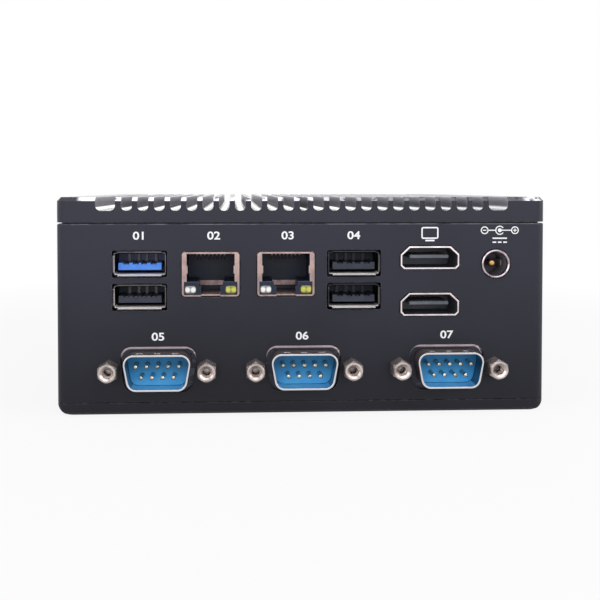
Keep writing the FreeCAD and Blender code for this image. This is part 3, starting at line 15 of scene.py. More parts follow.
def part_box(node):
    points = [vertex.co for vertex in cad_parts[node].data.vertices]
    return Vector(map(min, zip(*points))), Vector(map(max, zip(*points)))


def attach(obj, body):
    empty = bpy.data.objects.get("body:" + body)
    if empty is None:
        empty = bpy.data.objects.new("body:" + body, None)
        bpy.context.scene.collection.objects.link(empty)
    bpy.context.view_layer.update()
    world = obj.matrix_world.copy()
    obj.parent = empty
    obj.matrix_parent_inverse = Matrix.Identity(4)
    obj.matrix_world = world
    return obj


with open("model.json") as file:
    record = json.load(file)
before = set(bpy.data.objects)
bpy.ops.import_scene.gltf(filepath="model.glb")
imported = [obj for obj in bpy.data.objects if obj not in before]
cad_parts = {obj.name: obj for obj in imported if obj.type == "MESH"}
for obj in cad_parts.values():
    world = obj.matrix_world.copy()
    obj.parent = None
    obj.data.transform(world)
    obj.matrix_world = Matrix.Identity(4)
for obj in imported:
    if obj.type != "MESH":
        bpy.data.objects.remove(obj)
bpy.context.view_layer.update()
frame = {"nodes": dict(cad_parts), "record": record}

nodes = frame["nodes"]
scene = bpy.context.scene
MM = 0.001
PANEL_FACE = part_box("housing")[0].y

# %% [markdown]
# ## A small language for nodes
# A finish is a net of shader nodes. Wired one by one, even a simple sum takes six lines, so small
# classes carry the load. A `Wire` stands for the output of a node and understands + - * and the two
# comparisons, and each of those adds one Math node.

# %% Wires
class Wire:
    """The output of a node, used in sums like a number."""

    def __init__(self, net, socket):
        self.net = net
        self.socket = socket

    def __add__(self, other):
        return self.net.math("ADD", self, other)

    def __sub__(self, other):
        return self.net.math("SUBTRACT", self, other)

    def __rsub__(self, other):
        return self.net.math("SUBTRACT", other, self)

    def __mul__(self, other):
        return self.net.math("MULTIPLY", self, other)

    def __lt__(self, other):
        return self.net.math("LESS_THAN", self, other)

    def __gt__(self, other):
        return self.net.math("GREATER_THAN", self, other)

    __radd__ = __add__
    __rmul__ = __mul__


print("a wire has", [word for word in vars(Wire) if word.startswith("__") and callable(vars(Wire)[word])])

# %% [markdown]
# A `Net` fills a tree of nodes, for a material, for the surroundings or for Geometry Nodes. Its `node`
# method makes any node from its type, its settings and the values of its sockets, where a value is a
# number, a colour or a wire. The settings come first, because they decide which sockets a node has.

# %% Nets
class Net:
    """A tree of nodes, filled from scratch."""

    def __init__(self, tree):
        self.tree = tree
        self.tree.nodes.clear()

    def node(self, kind, settings=None, sockets=None, output=0):
        made = self.tree.nodes.new(kind)
        for word, value in (settings or {}).items():
            setattr(made, word, value)
        for key, value in (sockets or {}).items():
            if isinstance(value, Wire):
                self.tree.links.new(value.socket, made.inputs[key])
            else:
                made.inputs[key].default_value = value
        return Wire(self, made.outputs[output]) if made.outputs else None

    def math(self, operation, *values):
        return self.node("ShaderNodeMath", {"operation": operation}, dict(enumerate(values)))

    def outlets(self, kind, sockets=None):
        """Every output of a new node, by its name."""
        made = self.node(kind, sockets=sockets).socket.node
        return {socket.name: Wire(self, socket) for socket in made.outputs}


print("a net has", [word for word in vars(Net) if not word.startswith("_")])

# %% [markdown]
# A `Finish` is the net of one material, with short names for what most materials here need: the place
# of a point, the way a face looks, noise, soft steps between two values, mixed colours, bumps, and
# normals that are rounded near an edge. Places are Object coordinates, so a pattern stays on its piece
# when the piece moves. A Mix node keeps a set of sockets for each kind of data, all with the same names,
# so those for colours are known by their numbers.

# %% Finishes
COLOUR_A, COLOUR_B, COLOUR_RESULT = 6, 7, 2


class Finish(Net):
    """The net of one material."""

    def __init__(self, name):
        self.material = bpy.data.materials.new(name)
        self.material.use_nodes = True
        super().__init__(self.material.node_tree)

    def place(self):
        return self.node("ShaderNodeTexCoord", output="Object")

    def normal(self):
        return self.node("ShaderNodeNewGeometry", output="Normal")

    def where(self, axis):
        """The place of a point along one axis."""
        return self.outlets("ShaderNodeSeparateXYZ", {0: self.place()})[axis]

    def facing(self, axis):
        """How far a face looks along one axis, from -1 to 1."""
        return self.outlets("ShaderNodeSeparateXYZ", {0: self.normal()})[axis]

    def stretched(self, scale):
        return self.node("ShaderNodeVectorMath", {"operation": "MULTIPLY"}, {0: self.place(), 1: scale})

    def noise(self, scale, detail=2.0, vector=None):
        sockets = {"Vector": vector or self.place(), "Scale": scale, "Detail": detail}
        return self.node("ShaderNodeTexNoise", sockets=sockets)

    def ramp(self, value, low, high, to_low=0.0, to_high=1.0):
        sockets = {"Value": value, "From Min": low, "From Max": high, "To Min": to_low, "To Max": to_high}
        return self.node("ShaderNodeMapRange", {"interpolation_type": "SMOOTHSTEP"}, sockets)

    def mix(self, share, first, second):
        sockets = {0: share, COLOUR_A: first, COLOUR_B: second}
        return self.node("ShaderNodeMix", {"data_type": "RGBA"}, sockets, COLOUR_RESULT)

    def bump(self, height, distance, strength, normal=None):
        sockets = {"Height": height, "Distance": distance, "Strength": strength}
        if normal:
            sockets["Normal"] = normal
        return self.node("ShaderNodeBump", sockets=sockets)

    def rounded(self, radius):
        return self.node("ShaderNodeBevel", {"samples": 4}, {"Radius": radius})

    def surface(self, sockets):
        shader = self.node("ShaderNodeBsdfPrincipled", sockets=sockets)
        self.node("ShaderNodeOutputMaterial", sockets={"Surface": shader})
        return self.material


print("a finish has", [word for word in vars(Finish) if not word.startswith("_")])

# %% [markdown]
# Colours are written here as a painter reads them, from 0 to 255. Shaders count light instead, so each
# colour is turned into linear light, where half as bright to the eye is about a fifth of the light.
# Noise has a plain level of detail, and a coarse, a fine and a finest one by name.

# %% Colours and dressing
COARSE, FINE, FINEST = 1.0, 3.0, 4.0


def tint(red, green, blue):
    """A colour as a painter reads it, 0 to 255, turned into the linear light that shaders use."""
    def linear(level):
        share = level / 255
        return share / 12.92 if share <= 0.04045 else ((share + 0.055) / 1.055) ** 2.4
    return (linear(red), linear(green), linear(blue), 1.0)


def dress(material, *names):
    """Gives a material to the frame's own pieces."""
    for name in names:
        nodes[name].data.materials.clear()
        nodes[name].data.materials.append(material)
    print(f"{material.name}: {len(names)} pieces")


print("middle grey is", round(tint(128, 128, 128)[0], 3), "of the light of white")

# %% [markdown]
# ## Charcoal anodised aluminium
# The case is aluminium, blasted with fine beads and dyed in a charcoal that leans to blue. It could be a
# flat dark colour, but then a large panel looks like plastic. So the dye is a little cloudy, it gets paler
# towards the lid as painted light, and every sharp edge is paler, partly as wear where the dye is thin and
# partly as a painted highlight. A Bevel node finds those edges: it turns the normal near an edge, and where
# the turned normal and the true one part, there is an edge.

# %% Dye and rubbed edges
EDGE_TURN = (0.02, 0.25)
CLOUD_SCALE = 30.0
CLOUDS = (0.2, 0.8, 0.0, 0.3)
RUB_SCALE = 900.0
RUBS = (0.3, 0.75)
EDGE_WEAR_AND_HIGHLIGHT_SHARE = 0.6
DYE_DARK = tint(17, 18, 23)
DYE_LIGHT = tint(44, 45, 57)
PALE_WEAR_AND_HIGHLIGHT = tint(176, 176, 184)
DARKEST = -12.0 * MM
PAINTED_TOP_LIGHT_SHARE = 0.7
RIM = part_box("housing")[1].z


def edge_share(finish, soft_normal):
    """0 on a flat face, rising to 1 on a sharp edge."""
    product = finish.node("ShaderNodeVectorMath", {"operation": "DOT_PRODUCT"},
                          {0: soft_normal, 1: finish.normal()}, "Value")
    return finish.ramp(1.0 - product, *EDGE_TURN)


def dyed(finish, soft_normal):
    """The cloudy dye of the case, paler towards the lid as painted light, and paler along its edges as wear
    and as a painted highlight.
    """
    cloud = finish.ramp(finish.noise(CLOUD_SCALE, FINEST), *CLOUDS)
    # Painted light: the dye is mixed paler with height, towards the lid.
    rise = finish.ramp(finish.where("Z"), DARKEST, RIM)
    dye = finish.mix(cloud + PAINTED_TOP_LIGHT_SHARE * rise, DYE_DARK, DYE_LIGHT)
    # Paler edges: partly wear where the dye is thin, partly a painted highlight.
    edge_wear_and_highlight = edge_share(finish, soft_normal) * finish.ramp(finish.noise(RUB_SCALE), *RUBS)
    return finish.mix(edge_wear_and_highlight * EDGE_WEAR_AND_HIGHLIGHT_SHARE, dye, PALE_WEAR_AND_HIGHLIGHT)


# The painted top light is strongest here, under the lid.
print("the dye is palest at", round(RIM / MM, 1), "mm, under the lid")

# %% [markdown]
# Close up the skin is a field of tiny pits, which lift the highlights. A painted highlight runs as a bright
# line around the case, just under the lid. It could be a thin strip of its own, but as a band of height in
# the finish it can break up and fade.

# %% The anodised case
EDGE_RADIUS = 0.22 * MM
PIT_SCALE = 6500.0
PIT_DEPTH = 5e-6
BREAK_SCALE = 260.0
BREAKS = (0.35, 0.65, 0.03, 0.4)
RIM_HIGHLIGHT_BAND = (RIM - 0.22 * MM, RIM - 0.12 * MM)
LOW_GLOSS = 0.2
finish = Finish("case_charcoal")
soft = finish.rounded(EDGE_RADIUS)
pits = finish.noise(PIT_SCALE, FINE)
broken = finish.ramp(finish.noise(BREAK_SCALE, FINEST), *BREAKS)
# Painted highlight: a broken pale band just under the rim.
painted_rim_highlight = finish.ramp(finish.where("Z"), *RIM_HIGHLIGHT_BAND) * broken
dress(finish.surface({
    "Base Color": finish.mix(painted_rim_highlight, dyed(finish, soft), PALE_WEAR_AND_HIGHLIGHT),
    "Roughness": 0.38 + 0.14 * pits,
    "Specular IOR Level": LOW_GLOSS,
    "Normal": finish.bump(pits, PIT_DEPTH, 0.5, soft),
}), "housing", "bottom_cover")

# %% [markdown]
# The lid is an extrusion, so the die has drawn long streaks down every groove. The small chamfer at both
# ends is pale metal in patches, more on one side than on the other. Streaks are noise stretched along the
# grooves. The pale chamfer is found by its slope: only the chamfer leans halfway between up and outward.
# Inside the grooves the dye is sealed to a gloss, so at a low angle the grooves mirror the room, and
# painted light makes the flanks paler towards their tops and the groove floors a little paler.

# %% Where the lid is pale
PALE_CHAMFER_SCALE = 700.0
PALE_CHAMFER_PATCHES = (0.3, 0.55)
PALE_CHAMFER_STARTS = (-58.5 * MM, -57.0 * MM)
PALE_CHAMFER_FADES = (-20.0 * MM, 45.0 * MM, 1.0, 0.12)
PALE_CHAMFER_CORNER = (57.0 * MM, 59.0 * MM, 0.0, 0.9)
CHAMFER_LEAN, FLANK_LEAN, TROUGH_LEAN = 0.3, 0.5, 0.4
FIN_FIELD = 60.8 * MM
LID_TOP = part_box("heatsink_lid")[1].z
FLANK_LIGHT_HEIGHTS = (LID_TOP - 3.2 * MM, LID_TOP, 0.08, 0.66)
TROUGH_TOP = LID_TOP - 2.0 * MM
finish = Finish("lid_charcoal")
looks_side, looks_out, looks_up = [finish.facing(axis) for axis in "XYZ"]
side, level = finish.where("X"), finish.where("Z")
chamfer = (looks_out * looks_out > CHAMFER_LEAN) * (looks_up > CHAMFER_LEAN)
patchy = finish.ramp(finish.noise(PALE_CHAMFER_SCALE, FINEST), *PALE_CHAMFER_PATCHES)
fading = finish.ramp(side, *PALE_CHAMFER_STARTS) * finish.ramp(side, *PALE_CHAMFER_FADES)
# Pale metal in patches on the end chamfers, more at one end of the lid.
pale_chamfer = chamfer * patchy * (fading + finish.ramp(side, *PALE_CHAMFER_CORNER))
# Painted light: groove flanks paler towards their tops, groove floors a little paler.
painted_flank_light = (looks_side * looks_side > FLANK_LEAN) * finish.ramp(level, *FLANK_LIGHT_HEIGHTS)
trough = (looks_up > TROUGH_LEAN) * (level < TROUGH_TOP)
painted_groove_light = painted_flank_light * (side * side < FIN_FIELD ** 2) + 0.12 * trough
print("the lid's top is at", round(LID_TOP / MM, 1), "mm, and its fins lie within", FIN_FIELD / MM)

# %% The finned lid
STREAKS = (1.0, 0.012, 1.0)
STREAK_SCALE = 2600.0
STREAK_DEPTH = 4e-6
soft = finish.rounded(EDGE_RADIUS)
pits = finish.noise(PIT_SCALE, FINE)
streak = finish.noise(STREAK_SCALE, FINE, finish.stretched(STREAKS))
lid_with_painted_light = finish.mix(painted_groove_light, dyed(finish, soft), tint(196, 198, 206))
dress(finish.surface({
    "Base Color": finish.mix(pale_chamfer, lid_with_painted_light, tint(214, 214, 220)),
    "Metallic": pale_chamfer * 0.85 + painted_groove_light * 0.7,
    "Roughness": 0.26 + 0.14 * streak,
    "Specular IOR Level": LOW_GLOSS,
    "Coat Weight": 0.9 * trough + 0.5 * painted_flank_light,
    "Coat Roughness": 0.12,
    "Normal": finish.bump(streak + 0.6 * pits, STREAK_DEPTH, 0.5, soft),
}), "heatsink_lid")

# %% [markdown]
# ## Plated metals
# The connector shells are thin steel with a bright tin or nickel plate, which is warm next to the
# cold case. The plate is never a clean mirror: rolling marks run through it and it dulls in patches.
# One function serves most metals here. It takes a bright and a dull colour and the roughness, and the marks
# are noise drawn out along one axis. Some shells get a painted shade behind the panel: between two given
# depths they turn dark and dull.

# %% Plate
SHEET_EDGE = 0.12 * MM
ROLL_MARKS = (1.0, 1.0, 0.06)
ROLL_SCALE = 5200.0
ROLL_DEPTH = 2e-6
PATCH_SCALE = 420.0
PATCHES = (0.35, 0.75)


def behind(finish):
    """How far a point lies behind the nearer of the two panels."""
    return -PANEL_FACE - finish.math("ABSOLUTE", finish.where("Y"))


def plated(name, bright, dull, rough, metal=1.0, painted_shade_depths=None, painted_shade_colour=None):
    finish = Finish(name)
    rolling = finish.noise(ROLL_SCALE, FINE, finish.stretched(ROLL_MARKS))
    patch = finish.noise(PATCH_SCALE, FINE)
    base = finish.mix(finish.ramp(patch, *PATCHES), bright, dull)
    roughness = rough + 0.08 * patch + 0.04 * rolling
    if painted_shade_depths:
        # Painted shade: dark and dull between the given depths behind the panel.
        painted_shade = finish.ramp(behind(finish), *painted_shade_depths)
        base = finish.mix(painted_shade, base, painted_shade_colour)
        roughness = roughness + 0.3 * painted_shade
        metal = metal - 0.6 * painted_shade
    return finish.surface({
        "Base Color": base,
        "Metallic": metal,
        "Roughness": roughness,
        "Normal": finish.bump(rolling, ROLL_DEPTH, 0.35, finish.rounded(SHEET_EDGE)),
    })


print("the panels stand", round(-PANEL_FACE / MM, 1), "mm from the middle")

# %% Metal finishes
CONTACT_GREY, CONTACT_GREY_DARK = tint(98, 92, 96), tint(68, 64, 70)
screw_plate = plated("screw_nickel", tint(196, 185, 181), tint(152, 141, 137), 0.2, metal=0.8)
brass_nut = plated("nut_nickel_brass", tint(222, 214, 190), tint(178, 166, 140), 0.22)
dress(screw_plate, "rear_jackscrews", "front_jackscrews", "board_screws")
dress(brass_nut, "bracket_nuts")
dress(plated("screw_black_zinc", tint(62, 62, 66), tint(38, 38, 42), 0.32), "tie_screws")
dress(plated("jack_tin_plate", tint(170, 148, 142), tint(138, 119, 121), 0.12),
      "left_network_shield", "right_network_shield")
dress(plated("bar_dull_tin", tint(176, 152, 150), tint(126, 108, 110), 0.3, metal=0.5),
      "network_ground_bars", "power_jack_spring")
dress(plated("video_tin_plate", tint(224, 214, 216), tint(194, 182, 186), 0.10,
             painted_shade_depths=(-0.25 * MM, 0.4 * MM), painted_shade_colour=tint(74, 76, 84)), "video_shell")
dress(plated("sleeve_nickel", tint(188, 174, 180), tint(142, 130, 138), 0.14,
             painted_shade_depths=(0.5 * MM, 2.2 * MM), painted_shade_colour=tint(132, 134, 142)), "power_jack_sleeve")
dress(plated("pin_pale_gold", tint(190, 186, 172), tint(142, 138, 128), 0.14),
      "rear_serial_pins", "front_serial_pins")
dress(plated("contact_gold", tint(196, 160, 110), tint(146, 114, 76), 0.22), "power_jack_pin")
dress(plated("contact_dull_grey", CONTACT_GREY, CONTACT_GREY_DARK, 0.35, metal=0.4), "network_contacts", "video_contacts")

# %% [markdown]
# The lips of the data shells are pressed outwards. The lower lip, which faces up, and the side lips, which
# face each other, get a painted highlight of white satin, weaker on the right pair, while the upper lip and
# the front rim stay dull. Deeper in the mouth the plate gets a painted shade. The way a face looks tells
# them apart. The right pair of ports has a rim darkened by painted shade, so the finish asks which side of
# the case a point is on.

# %% Data shells
PATCH_DEPTH = 4e-6
LIP_TILT = (0.1, 0.45)
LIP_ENDS = (4.0 * MM, 6.5 * MM, 1.0, 0.0)
UPPER_TILT = (-0.45, -0.1, 1.0, 0.0)
SIDE_TILT = (0.1, 0.4)
MOUTH_SHADE_DEPTHS = (0.6 * MM, 1.5 * MM)
finish = Finish("data_tin_plate")
depth = behind(finish)
patch = finish.noise(PATCH_SCALE, FINE)
looks_side, looks_up = finish.facing("X"), finish.facing("Z")
right_pair = finish.where("X") > 0.0
# Painted shade: the plate turns dark inside the mouth.
painted_shade = finish.ramp(depth, *MOUTH_SHADE_DEPTHS)
# Painted highlight: the up-facing lower lip and the inward-facing side lips turn a pale satin.
lower_lip_highlight = finish.ramp(looks_up, *LIP_TILT) * finish.ramp(depth, *LIP_ENDS)
upper = finish.ramp(looks_up, *UPPER_TILT)
side_lip_highlight = finish.ramp(looks_side * looks_side, *SIDE_TILT) * (1.0 - 0.45 * right_pair) * (1.0 - painted_shade)
painted_lip_highlight = finish.math("MAXIMUM", lower_lip_highlight, side_lip_highlight)
rim = finish.mix(finish.ramp(patch, *PATCHES), tint(94, 90, 95), tint(70, 67, 72))
# Painted shade: the rim of the right pair is darker.
rim = finish.mix(right_pair, rim, tint(50, 50, 58))
shaded = finish.mix(painted_shade, finish.mix(upper, rim, tint(84, 80, 86)), tint(30, 31, 36))
painted_highlight_white = finish.mix(patch, tint(255, 252, 250), tint(238, 230, 228))
dress(finish.surface({
    "Base Color": finish.mix(painted_lip_highlight, shaded, painted_highlight_white),
    "Metallic": 1.0 - 0.9 * painted_lip_highlight,
    "Roughness": 0.12 + 0.3 * painted_shade + 0.12 * patch,
    "Normal": finish.bump(patch, PATCH_DEPTH, 0.3, finish.rounded(SHEET_EDGE)),
}), "left_data_shell", "right_data_shell")

# %% [markdown]
# The contacts in the data ports are springs of a dull grey. Those of the right pair of ports get a darker
# painted shade. All of them are one piece, so one finish holds both looks and asks for the side again.

# %% Data contacts
finish = Finish("data_contact_dull_grey")
patch = finish.noise(PATCH_SCALE, FINE)
dull_grey = finish.mix(patch, CONTACT_GREY, CONTACT_GREY_DARK)
dress(finish.surface({
    # Painted shade: the contacts of the right pair are darker.
    "Base Color": finish.mix(finish.where("X") > 0.0, dull_grey, tint(40, 42, 50)),
    "Metallic": 0.4,
    "Roughness": 0.36 + 0.1 * patch,
    "Normal": finish.bump(patch, ROLL_DEPTH, 0.3),
}), "data_contacts")

# %% [markdown]
# The serial shells have three looks in one pressing. The front rim and the inside are bright plate, and the
# inner side walls near the lip are a darker blue-grey. The outside of the tube gets a painted shade, dark
# and dull, apart from its three dimples, which are kept bright as a painted highlight. All six shells share
# one finish, so it needs each point's place in its own port: the ports are evenly spaced, and the Wrap
# operation of a Math node starts the count again at every port. A face that looks at the middle of its own
# port is an inside one, and the dimples are the only faces just under the top of the tube.

# %% Serial tubes
PORT_PITCH = 37.5 * MM
TUBE_FRONT = PANEL_FACE - 3.0 * MM
TUBE_SHADE_DEPTHS = (-4.55 * MM, -4.15 * MM)
TUBE_LIP, TUBE_ROOT = -4.5 * MM, -1.0 * MM
CHEEK_LEAN = 0.4
SUNK_LOW, SUNK_HIGH = 0.25 * MM, 0.03 * MM
DIMPLE_FIELD = 5.6 * MM
tube_points = [vertex.co for vertex in nodes["rear_serial_shell_2"].data.vertices
               if vertex.co.y < TUBE_FRONT]
TUBE_TOP = max(point.z for point in tube_points)
TUBE_MIDDLE = (TUBE_TOP + min(point.z for point in tube_points)) / 2
finish = Finish("serial_shell_plate")
depth = behind(finish)
patch = finish.noise(PATCH_SCALE, FINE)
looks_side, looks_up = finish.facing("X"), finish.facing("Z")
level = finish.where("Z")
offset = finish.math("WRAP", finish.where("X"), PORT_PITCH / 2, -PORT_PITCH / 2)
inside = offset * looks_side + (level - TUBE_MIDDLE) * looks_up < 0.0
sunk = (level > TUBE_TOP - SUNK_LOW) * (level < TUBE_TOP - SUNK_HIGH)
dimple = sunk * (depth < TUBE_ROOT) * (offset * offset < DIMPLE_FIELD ** 2)
# Painted shade on the outside of the tube, left off the dimples as a painted highlight.
painted_tube_shade = finish.ramp(depth, *TUBE_SHADE_DEPTHS) * (1.0 - dimple) * (1.0 - inside)
cheek = inside * (looks_side * looks_side > CHEEK_LEAN) * (depth > TUBE_LIP)
bright = finish.mix(cheek, tint(214, 211, 213), tint(98, 106, 112))
tube = finish.mix(painted_tube_shade, bright, finish.mix(patch, tint(92, 86, 89), tint(62, 58, 61)))
print("serial tubes: top", round(TUBE_TOP / MM, 2), "mm, middle", round(TUBE_MIDDLE / MM, 2), "mm")

# %% [markdown]
# The flange behind the panel gets a dark painted shade, with a band of painted light in pale metal above
# the tube, along the edge of the cut-out. The band could be a straight strip, but the cut-out has round
# corners. So it is measured from the centres of its two upper corners, and it turns down round them and
# fades.

# %% Serial flanges
CORNER_X = 7.2 * MM
CORNER_Z = TUBE_TOP - 1.7 * MM
BAND_EDGES = ((2.05 * MM) ** 2, (2.4 * MM) ** 2)
BAND_FADES = (-0.5 * MM, 1.4 * MM)
FLANGE_STARTS = (0.5 * MM, 1.2 * MM)
beyond = finish.math("MAXIMUM", finish.math("ABSOLUTE", offset) - CORNER_X, 0.0)
rise = level - CORNER_Z
# Painted light: a pale band around the upper corners of the cut-out.
painted_light_band = finish.ramp(beyond * beyond + rise * rise, *BAND_EDGES) * finish.ramp(rise, *BAND_FADES)
pale = finish.mix(patch, tint(246, 228, 232), tint(196, 176, 180))
# Painted shade: the rest of the flange is dark.
flange = finish.mix(painted_light_band, tint(62, 62, 72), pale)
dress(finish.surface({
    "Base Color": finish.mix(finish.ramp(depth, *FLANGE_STARTS), tube, flange),
    "Metallic": 1.0 - 0.5 * painted_tube_shade,
    "Roughness": 0.08 + 0.34 * painted_tube_shade + 0.06 * patch,
    "Specular IOR Level": LOW_GLOSS,
    "Normal": finish.bump(patch, PATCH_DEPTH, 0.3, finish.rounded(SHEET_EDGE)),
}), *[f"{panel}_serial_shell_{number}" for panel in ("rear", "front") for number in (1, 2, 3)])

# %% [markdown]
# ## Moulded plastics
# The insulators are glass-filled plastic. Moulded faces have a soft, slightly pebbled skin, and the glass
# makes faint pale flecks. The same function makes the blue insulators, the black blocks and the grey
# ribbon, with little but colours and roughness changed, and it can give sharp edges a painted highlight.
# Two of the blues aren't even: the serial insulators get a painted shade that darkens them towards their
# tops, and behind the bright tongue the data port gets a painted shade of slate grey. A small function for
# each of the two mixes that second colour in.

# %% Plastic
MOULD_EDGE = 0.1 * MM
SKIN_SCALE = 3800.0
SKIN_DEPTH = 4e-6
FLOW_SCALE = 260.0
FLOWS = (0.35, 0.7)
FLECK_SCALE = 9000.0
FLECKS = (0.66, 0.8)
FEW_FLECKS = 0.05
TOP_SHADE_HEIGHTS = (7.5 * MM, 13.5 * MM)
BACK_SHADE_DEPTHS = (3.0 * MM, 8.0 * MM)


def painted_shade_above(finish, base):
    # Painted shade: darker towards the top.
    return finish.mix(finish.ramp(finish.where("Z"), *TOP_SHADE_HEIGHTS), base, tint(36, 118, 172))


def painted_shade_behind(finish, base):
    # Painted shade: slate grey deep behind the panel.
    return finish.mix(finish.ramp(behind(finish), *BACK_SHADE_DEPTHS), base, tint(84, 90, 128))


def moulded(name, colour, deep, rough, fleck=0.12, painted_edge_highlight=0.0, second=None):
    finish = Finish(name)
    soft = finish.rounded(MOULD_EDGE)
    skin = finish.noise(SKIN_SCALE, FINE)
    base = finish.mix(finish.ramp(finish.noise(FLOW_SCALE, FINE), *FLOWS), colour, deep)
    if second:
        base = second(finish, base)
    flecks = finish.ramp(finish.noise(FLECK_SCALE, COARSE), *FLECKS) * fleck
    flecked = finish.mix(flecks, base, tint(236, 238, 242))
    return finish.surface({
        # Painted highlight: sharp edges turn pale, as far as the given share asks.
        "Base Color": finish.mix(edge_share(finish, soft) * painted_edge_highlight, flecked, tint(170, 172, 178)),
        "Roughness": rough + 0.12 * skin,
        "Specular IOR Level": 0.25,
        "Normal": finish.bump(skin, SKIN_DEPTH, 0.4, soft),
    })


# Painted shade: the serial blue darkens between these heights.
print("the blue deepens from", TOP_SHADE_HEIGHTS[0] / MM, "to", TOP_SHADE_HEIGHTS[1] / MM, "mm above the floor")

# %% Plastic finishes
dress(moulded("serial_blue", tint(84, 186, 255), tint(70, 174, 255), 0.34, second=painted_shade_above),
      *[f"{panel}_serial_insulator_{number}" for panel in ("rear", "front") for number in (1, 2, 3)])
dress(moulded("data_blue", tint(86, 145, 238), tint(72, 128, 222), 0.36, second=painted_shade_behind),
      "left_data_upper_tongue")
dress(moulded("tongue_dark", tint(54, 58, 71), tint(45, 49, 61), 0.45, FEW_FLECKS),
      "left_data_lower_tongue", "right_data_tongues")
dress(moulded("tongue_grey", tint(108, 111, 120), tint(90, 93, 102), 0.45, FEW_FLECKS),
      "upper_video_tongue", "lower_video_tongue")
dress(moulded("jack_resin", tint(24, 35, 56), tint(19, 28, 46), 0.34, 0.03, 0.55),
      "left_network_insert", "right_network_insert")
dress(moulded("power_resin", tint(128, 130, 138), tint(108, 110, 118), 0.45, FEW_FLECKS),
      "power_jack_body")
dress(moulded("black_resin", tint(26, 27, 31), tint(19, 20, 23), 0.42, FEW_FLECKS),
      "processor", "controller_chips", "memory_socket", "storage_socket", "serial_headers", "button_switch")
dress(moulded("ribbon_grey", tint(150, 152, 156), tint(128, 130, 136), 0.5), "serial_ribbons")
dress(moulded("inductor_ferrite", tint(58, 58, 60), tint(42, 42, 44), 0.6), "power_inductors")
dress(moulded("thermal_pad_rubber", tint(148, 160, 182), tint(130, 142, 168), 0.7), "thermal_pad")

# %% [markdown]
# The two lamps in each network jack sit behind small windows: a milky clear one and a yellow-green
# one. Real windows are clear plastic with a frosted back. Here a pale body under a clear coat gives
# the same wet shine and keeps its look in any renderer. Two lamp chips show through as paler spots, one
# on each side of the window's middle.

# %% Lamp windows
JACK_PITCH = 19.4 * MM
CHIP_OFFSET = 0.72 * MM
CHIP_CORE = (0.3 * MM) ** 2
CHIP_GLOW = (0.85 * MM) ** 2
FROST_SCALE = 700.0
FROSTS = (0.35, 0.65, 1.0, 0.0)
FROST_DEPTH = 2e-5
GLINT_SCALE = 1500.0
GLINTS = (0.45, 0.7)
WINDOW_EDGE = 0.25 * MM


def chip_spots(finish, node):
    """Two soft spots in each of a node's two windows."""
    middle = (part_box(node)[0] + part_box(node)[1]) / 2
    folded = finish.math("WRAP", finish.where("X") - middle.x, JACK_PITCH, 0.0)
    beside = finish.math("ABSOLUTE", folded - JACK_PITCH / 2) - CHIP_OFFSET
    rise = finish.where("Z") - middle.z
    return finish.ramp(beside * beside + rise * rise, CHIP_CORE, CHIP_GLOW, 1.0, 0.0)


def window(name, colour, deep, node, chips=True):
    finish = Finish(name)
    frost = finish.noise(FROST_SCALE)
    glint = finish.ramp(finish.noise(GLINT_SCALE), *GLINTS)
    pale = chip_spots(finish, node) if chips else finish.ramp(frost, *FROSTS)
    dress(finish.surface({
        "Base Color": finish.mix(pale, deep, colour),
        "Roughness": 0.12 + 0.2 * glint,
        "Coat Weight": 0.6 + 0.4 * glint,
        "Coat Roughness": 0.05,
        "Normal": finish.bump(frost, FROST_DEPTH, 0.5, finish.rounded(WINDOW_EDGE)),
    }), node)


window("window_clear", tint(244, 244, 242), tint(118, 119, 124), "network_clear_lenses")
window("window_yellow", tint(196, 196, 72), tint(116, 118, 36), "network_yellow_lenses")
window("window_lamp", tint(222, 230, 226), tint(182, 196, 190), "power_lamp", chips=False)

# %% [markdown]
# ## Boards, battery and button
# Boards are green lacquer over copper. Tracks could be modelled, but nobody sees them through the
# jacks, so a brick pattern with thin mortar stands for the tracks and a fine noise for the weave. The
# battery on the board is bright steel, so it takes the plate from above.

# %% Board and battery
TRACK_SCALE = 160.0
TRACK_WIDTH = 0.012
WEAVE_SCALE = 2400.0
WEAVE_DEPTH = 8e-6
finish = Finish("board_lacquer")
tracks = finish.node("ShaderNodeTexBrick", output="Fac", sockets={
    "Vector": finish.place(), "Scale": TRACK_SCALE, "Mortar Size": TRACK_WIDTH})
weave = finish.noise(WEAVE_SCALE)
dress(finish.surface({
    "Base Color": finish.mix(tracks * 0.7, tint(20, 66, 44), tint(58, 112, 72)),
    "Roughness": 0.3 + 0.15 * weave,
    "Normal": finish.bump(weave + 2.0 * tracks, WEAVE_DEPTH, 0.5),
}), "mainboard", "memory_module", "storage_card", "button_board")
dress(plated("battery_steel", tint(206, 206, 204), tint(172, 172, 172), 0.24), "clock_battery")

# %% [markdown]
# The power button is turned aluminium. A lathe leaves rings around its axis, so its marks are rings
# of noise: the distance from the button's own axis drives a noise of one dimension.

# %% The turned button
RING_SCALE = 9000.0
RING_DEPTH = 6e-6
BUTTON_EDGE = 0.15 * MM
button_low, button_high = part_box("power_button")
button_middle = (button_low + button_high) / 2
finish = Finish("button_turned")
across, upward = finish.where("X") - button_middle.x, finish.where("Z") - button_middle.z
radius = finish.math("SQRT", across * across + upward * upward)
rings = finish.node("ShaderNodeTexNoise", {"noise_dimensions": "1D"},
                    {"W": radius, "Scale": RING_SCALE, "Detail": 2.0})
dress(finish.surface({
    "Base Color": finish.mix(rings, tint(186, 188, 192), tint(214, 215, 218)),
    "Metallic": 1.0,
    "Roughness": 0.22 + 0.14 * rings,
    "Normal": finish.bump(rings, RING_DEPTH, 0.6, finish.rounded(BUTTON_EDGE)),
}), "power_button")

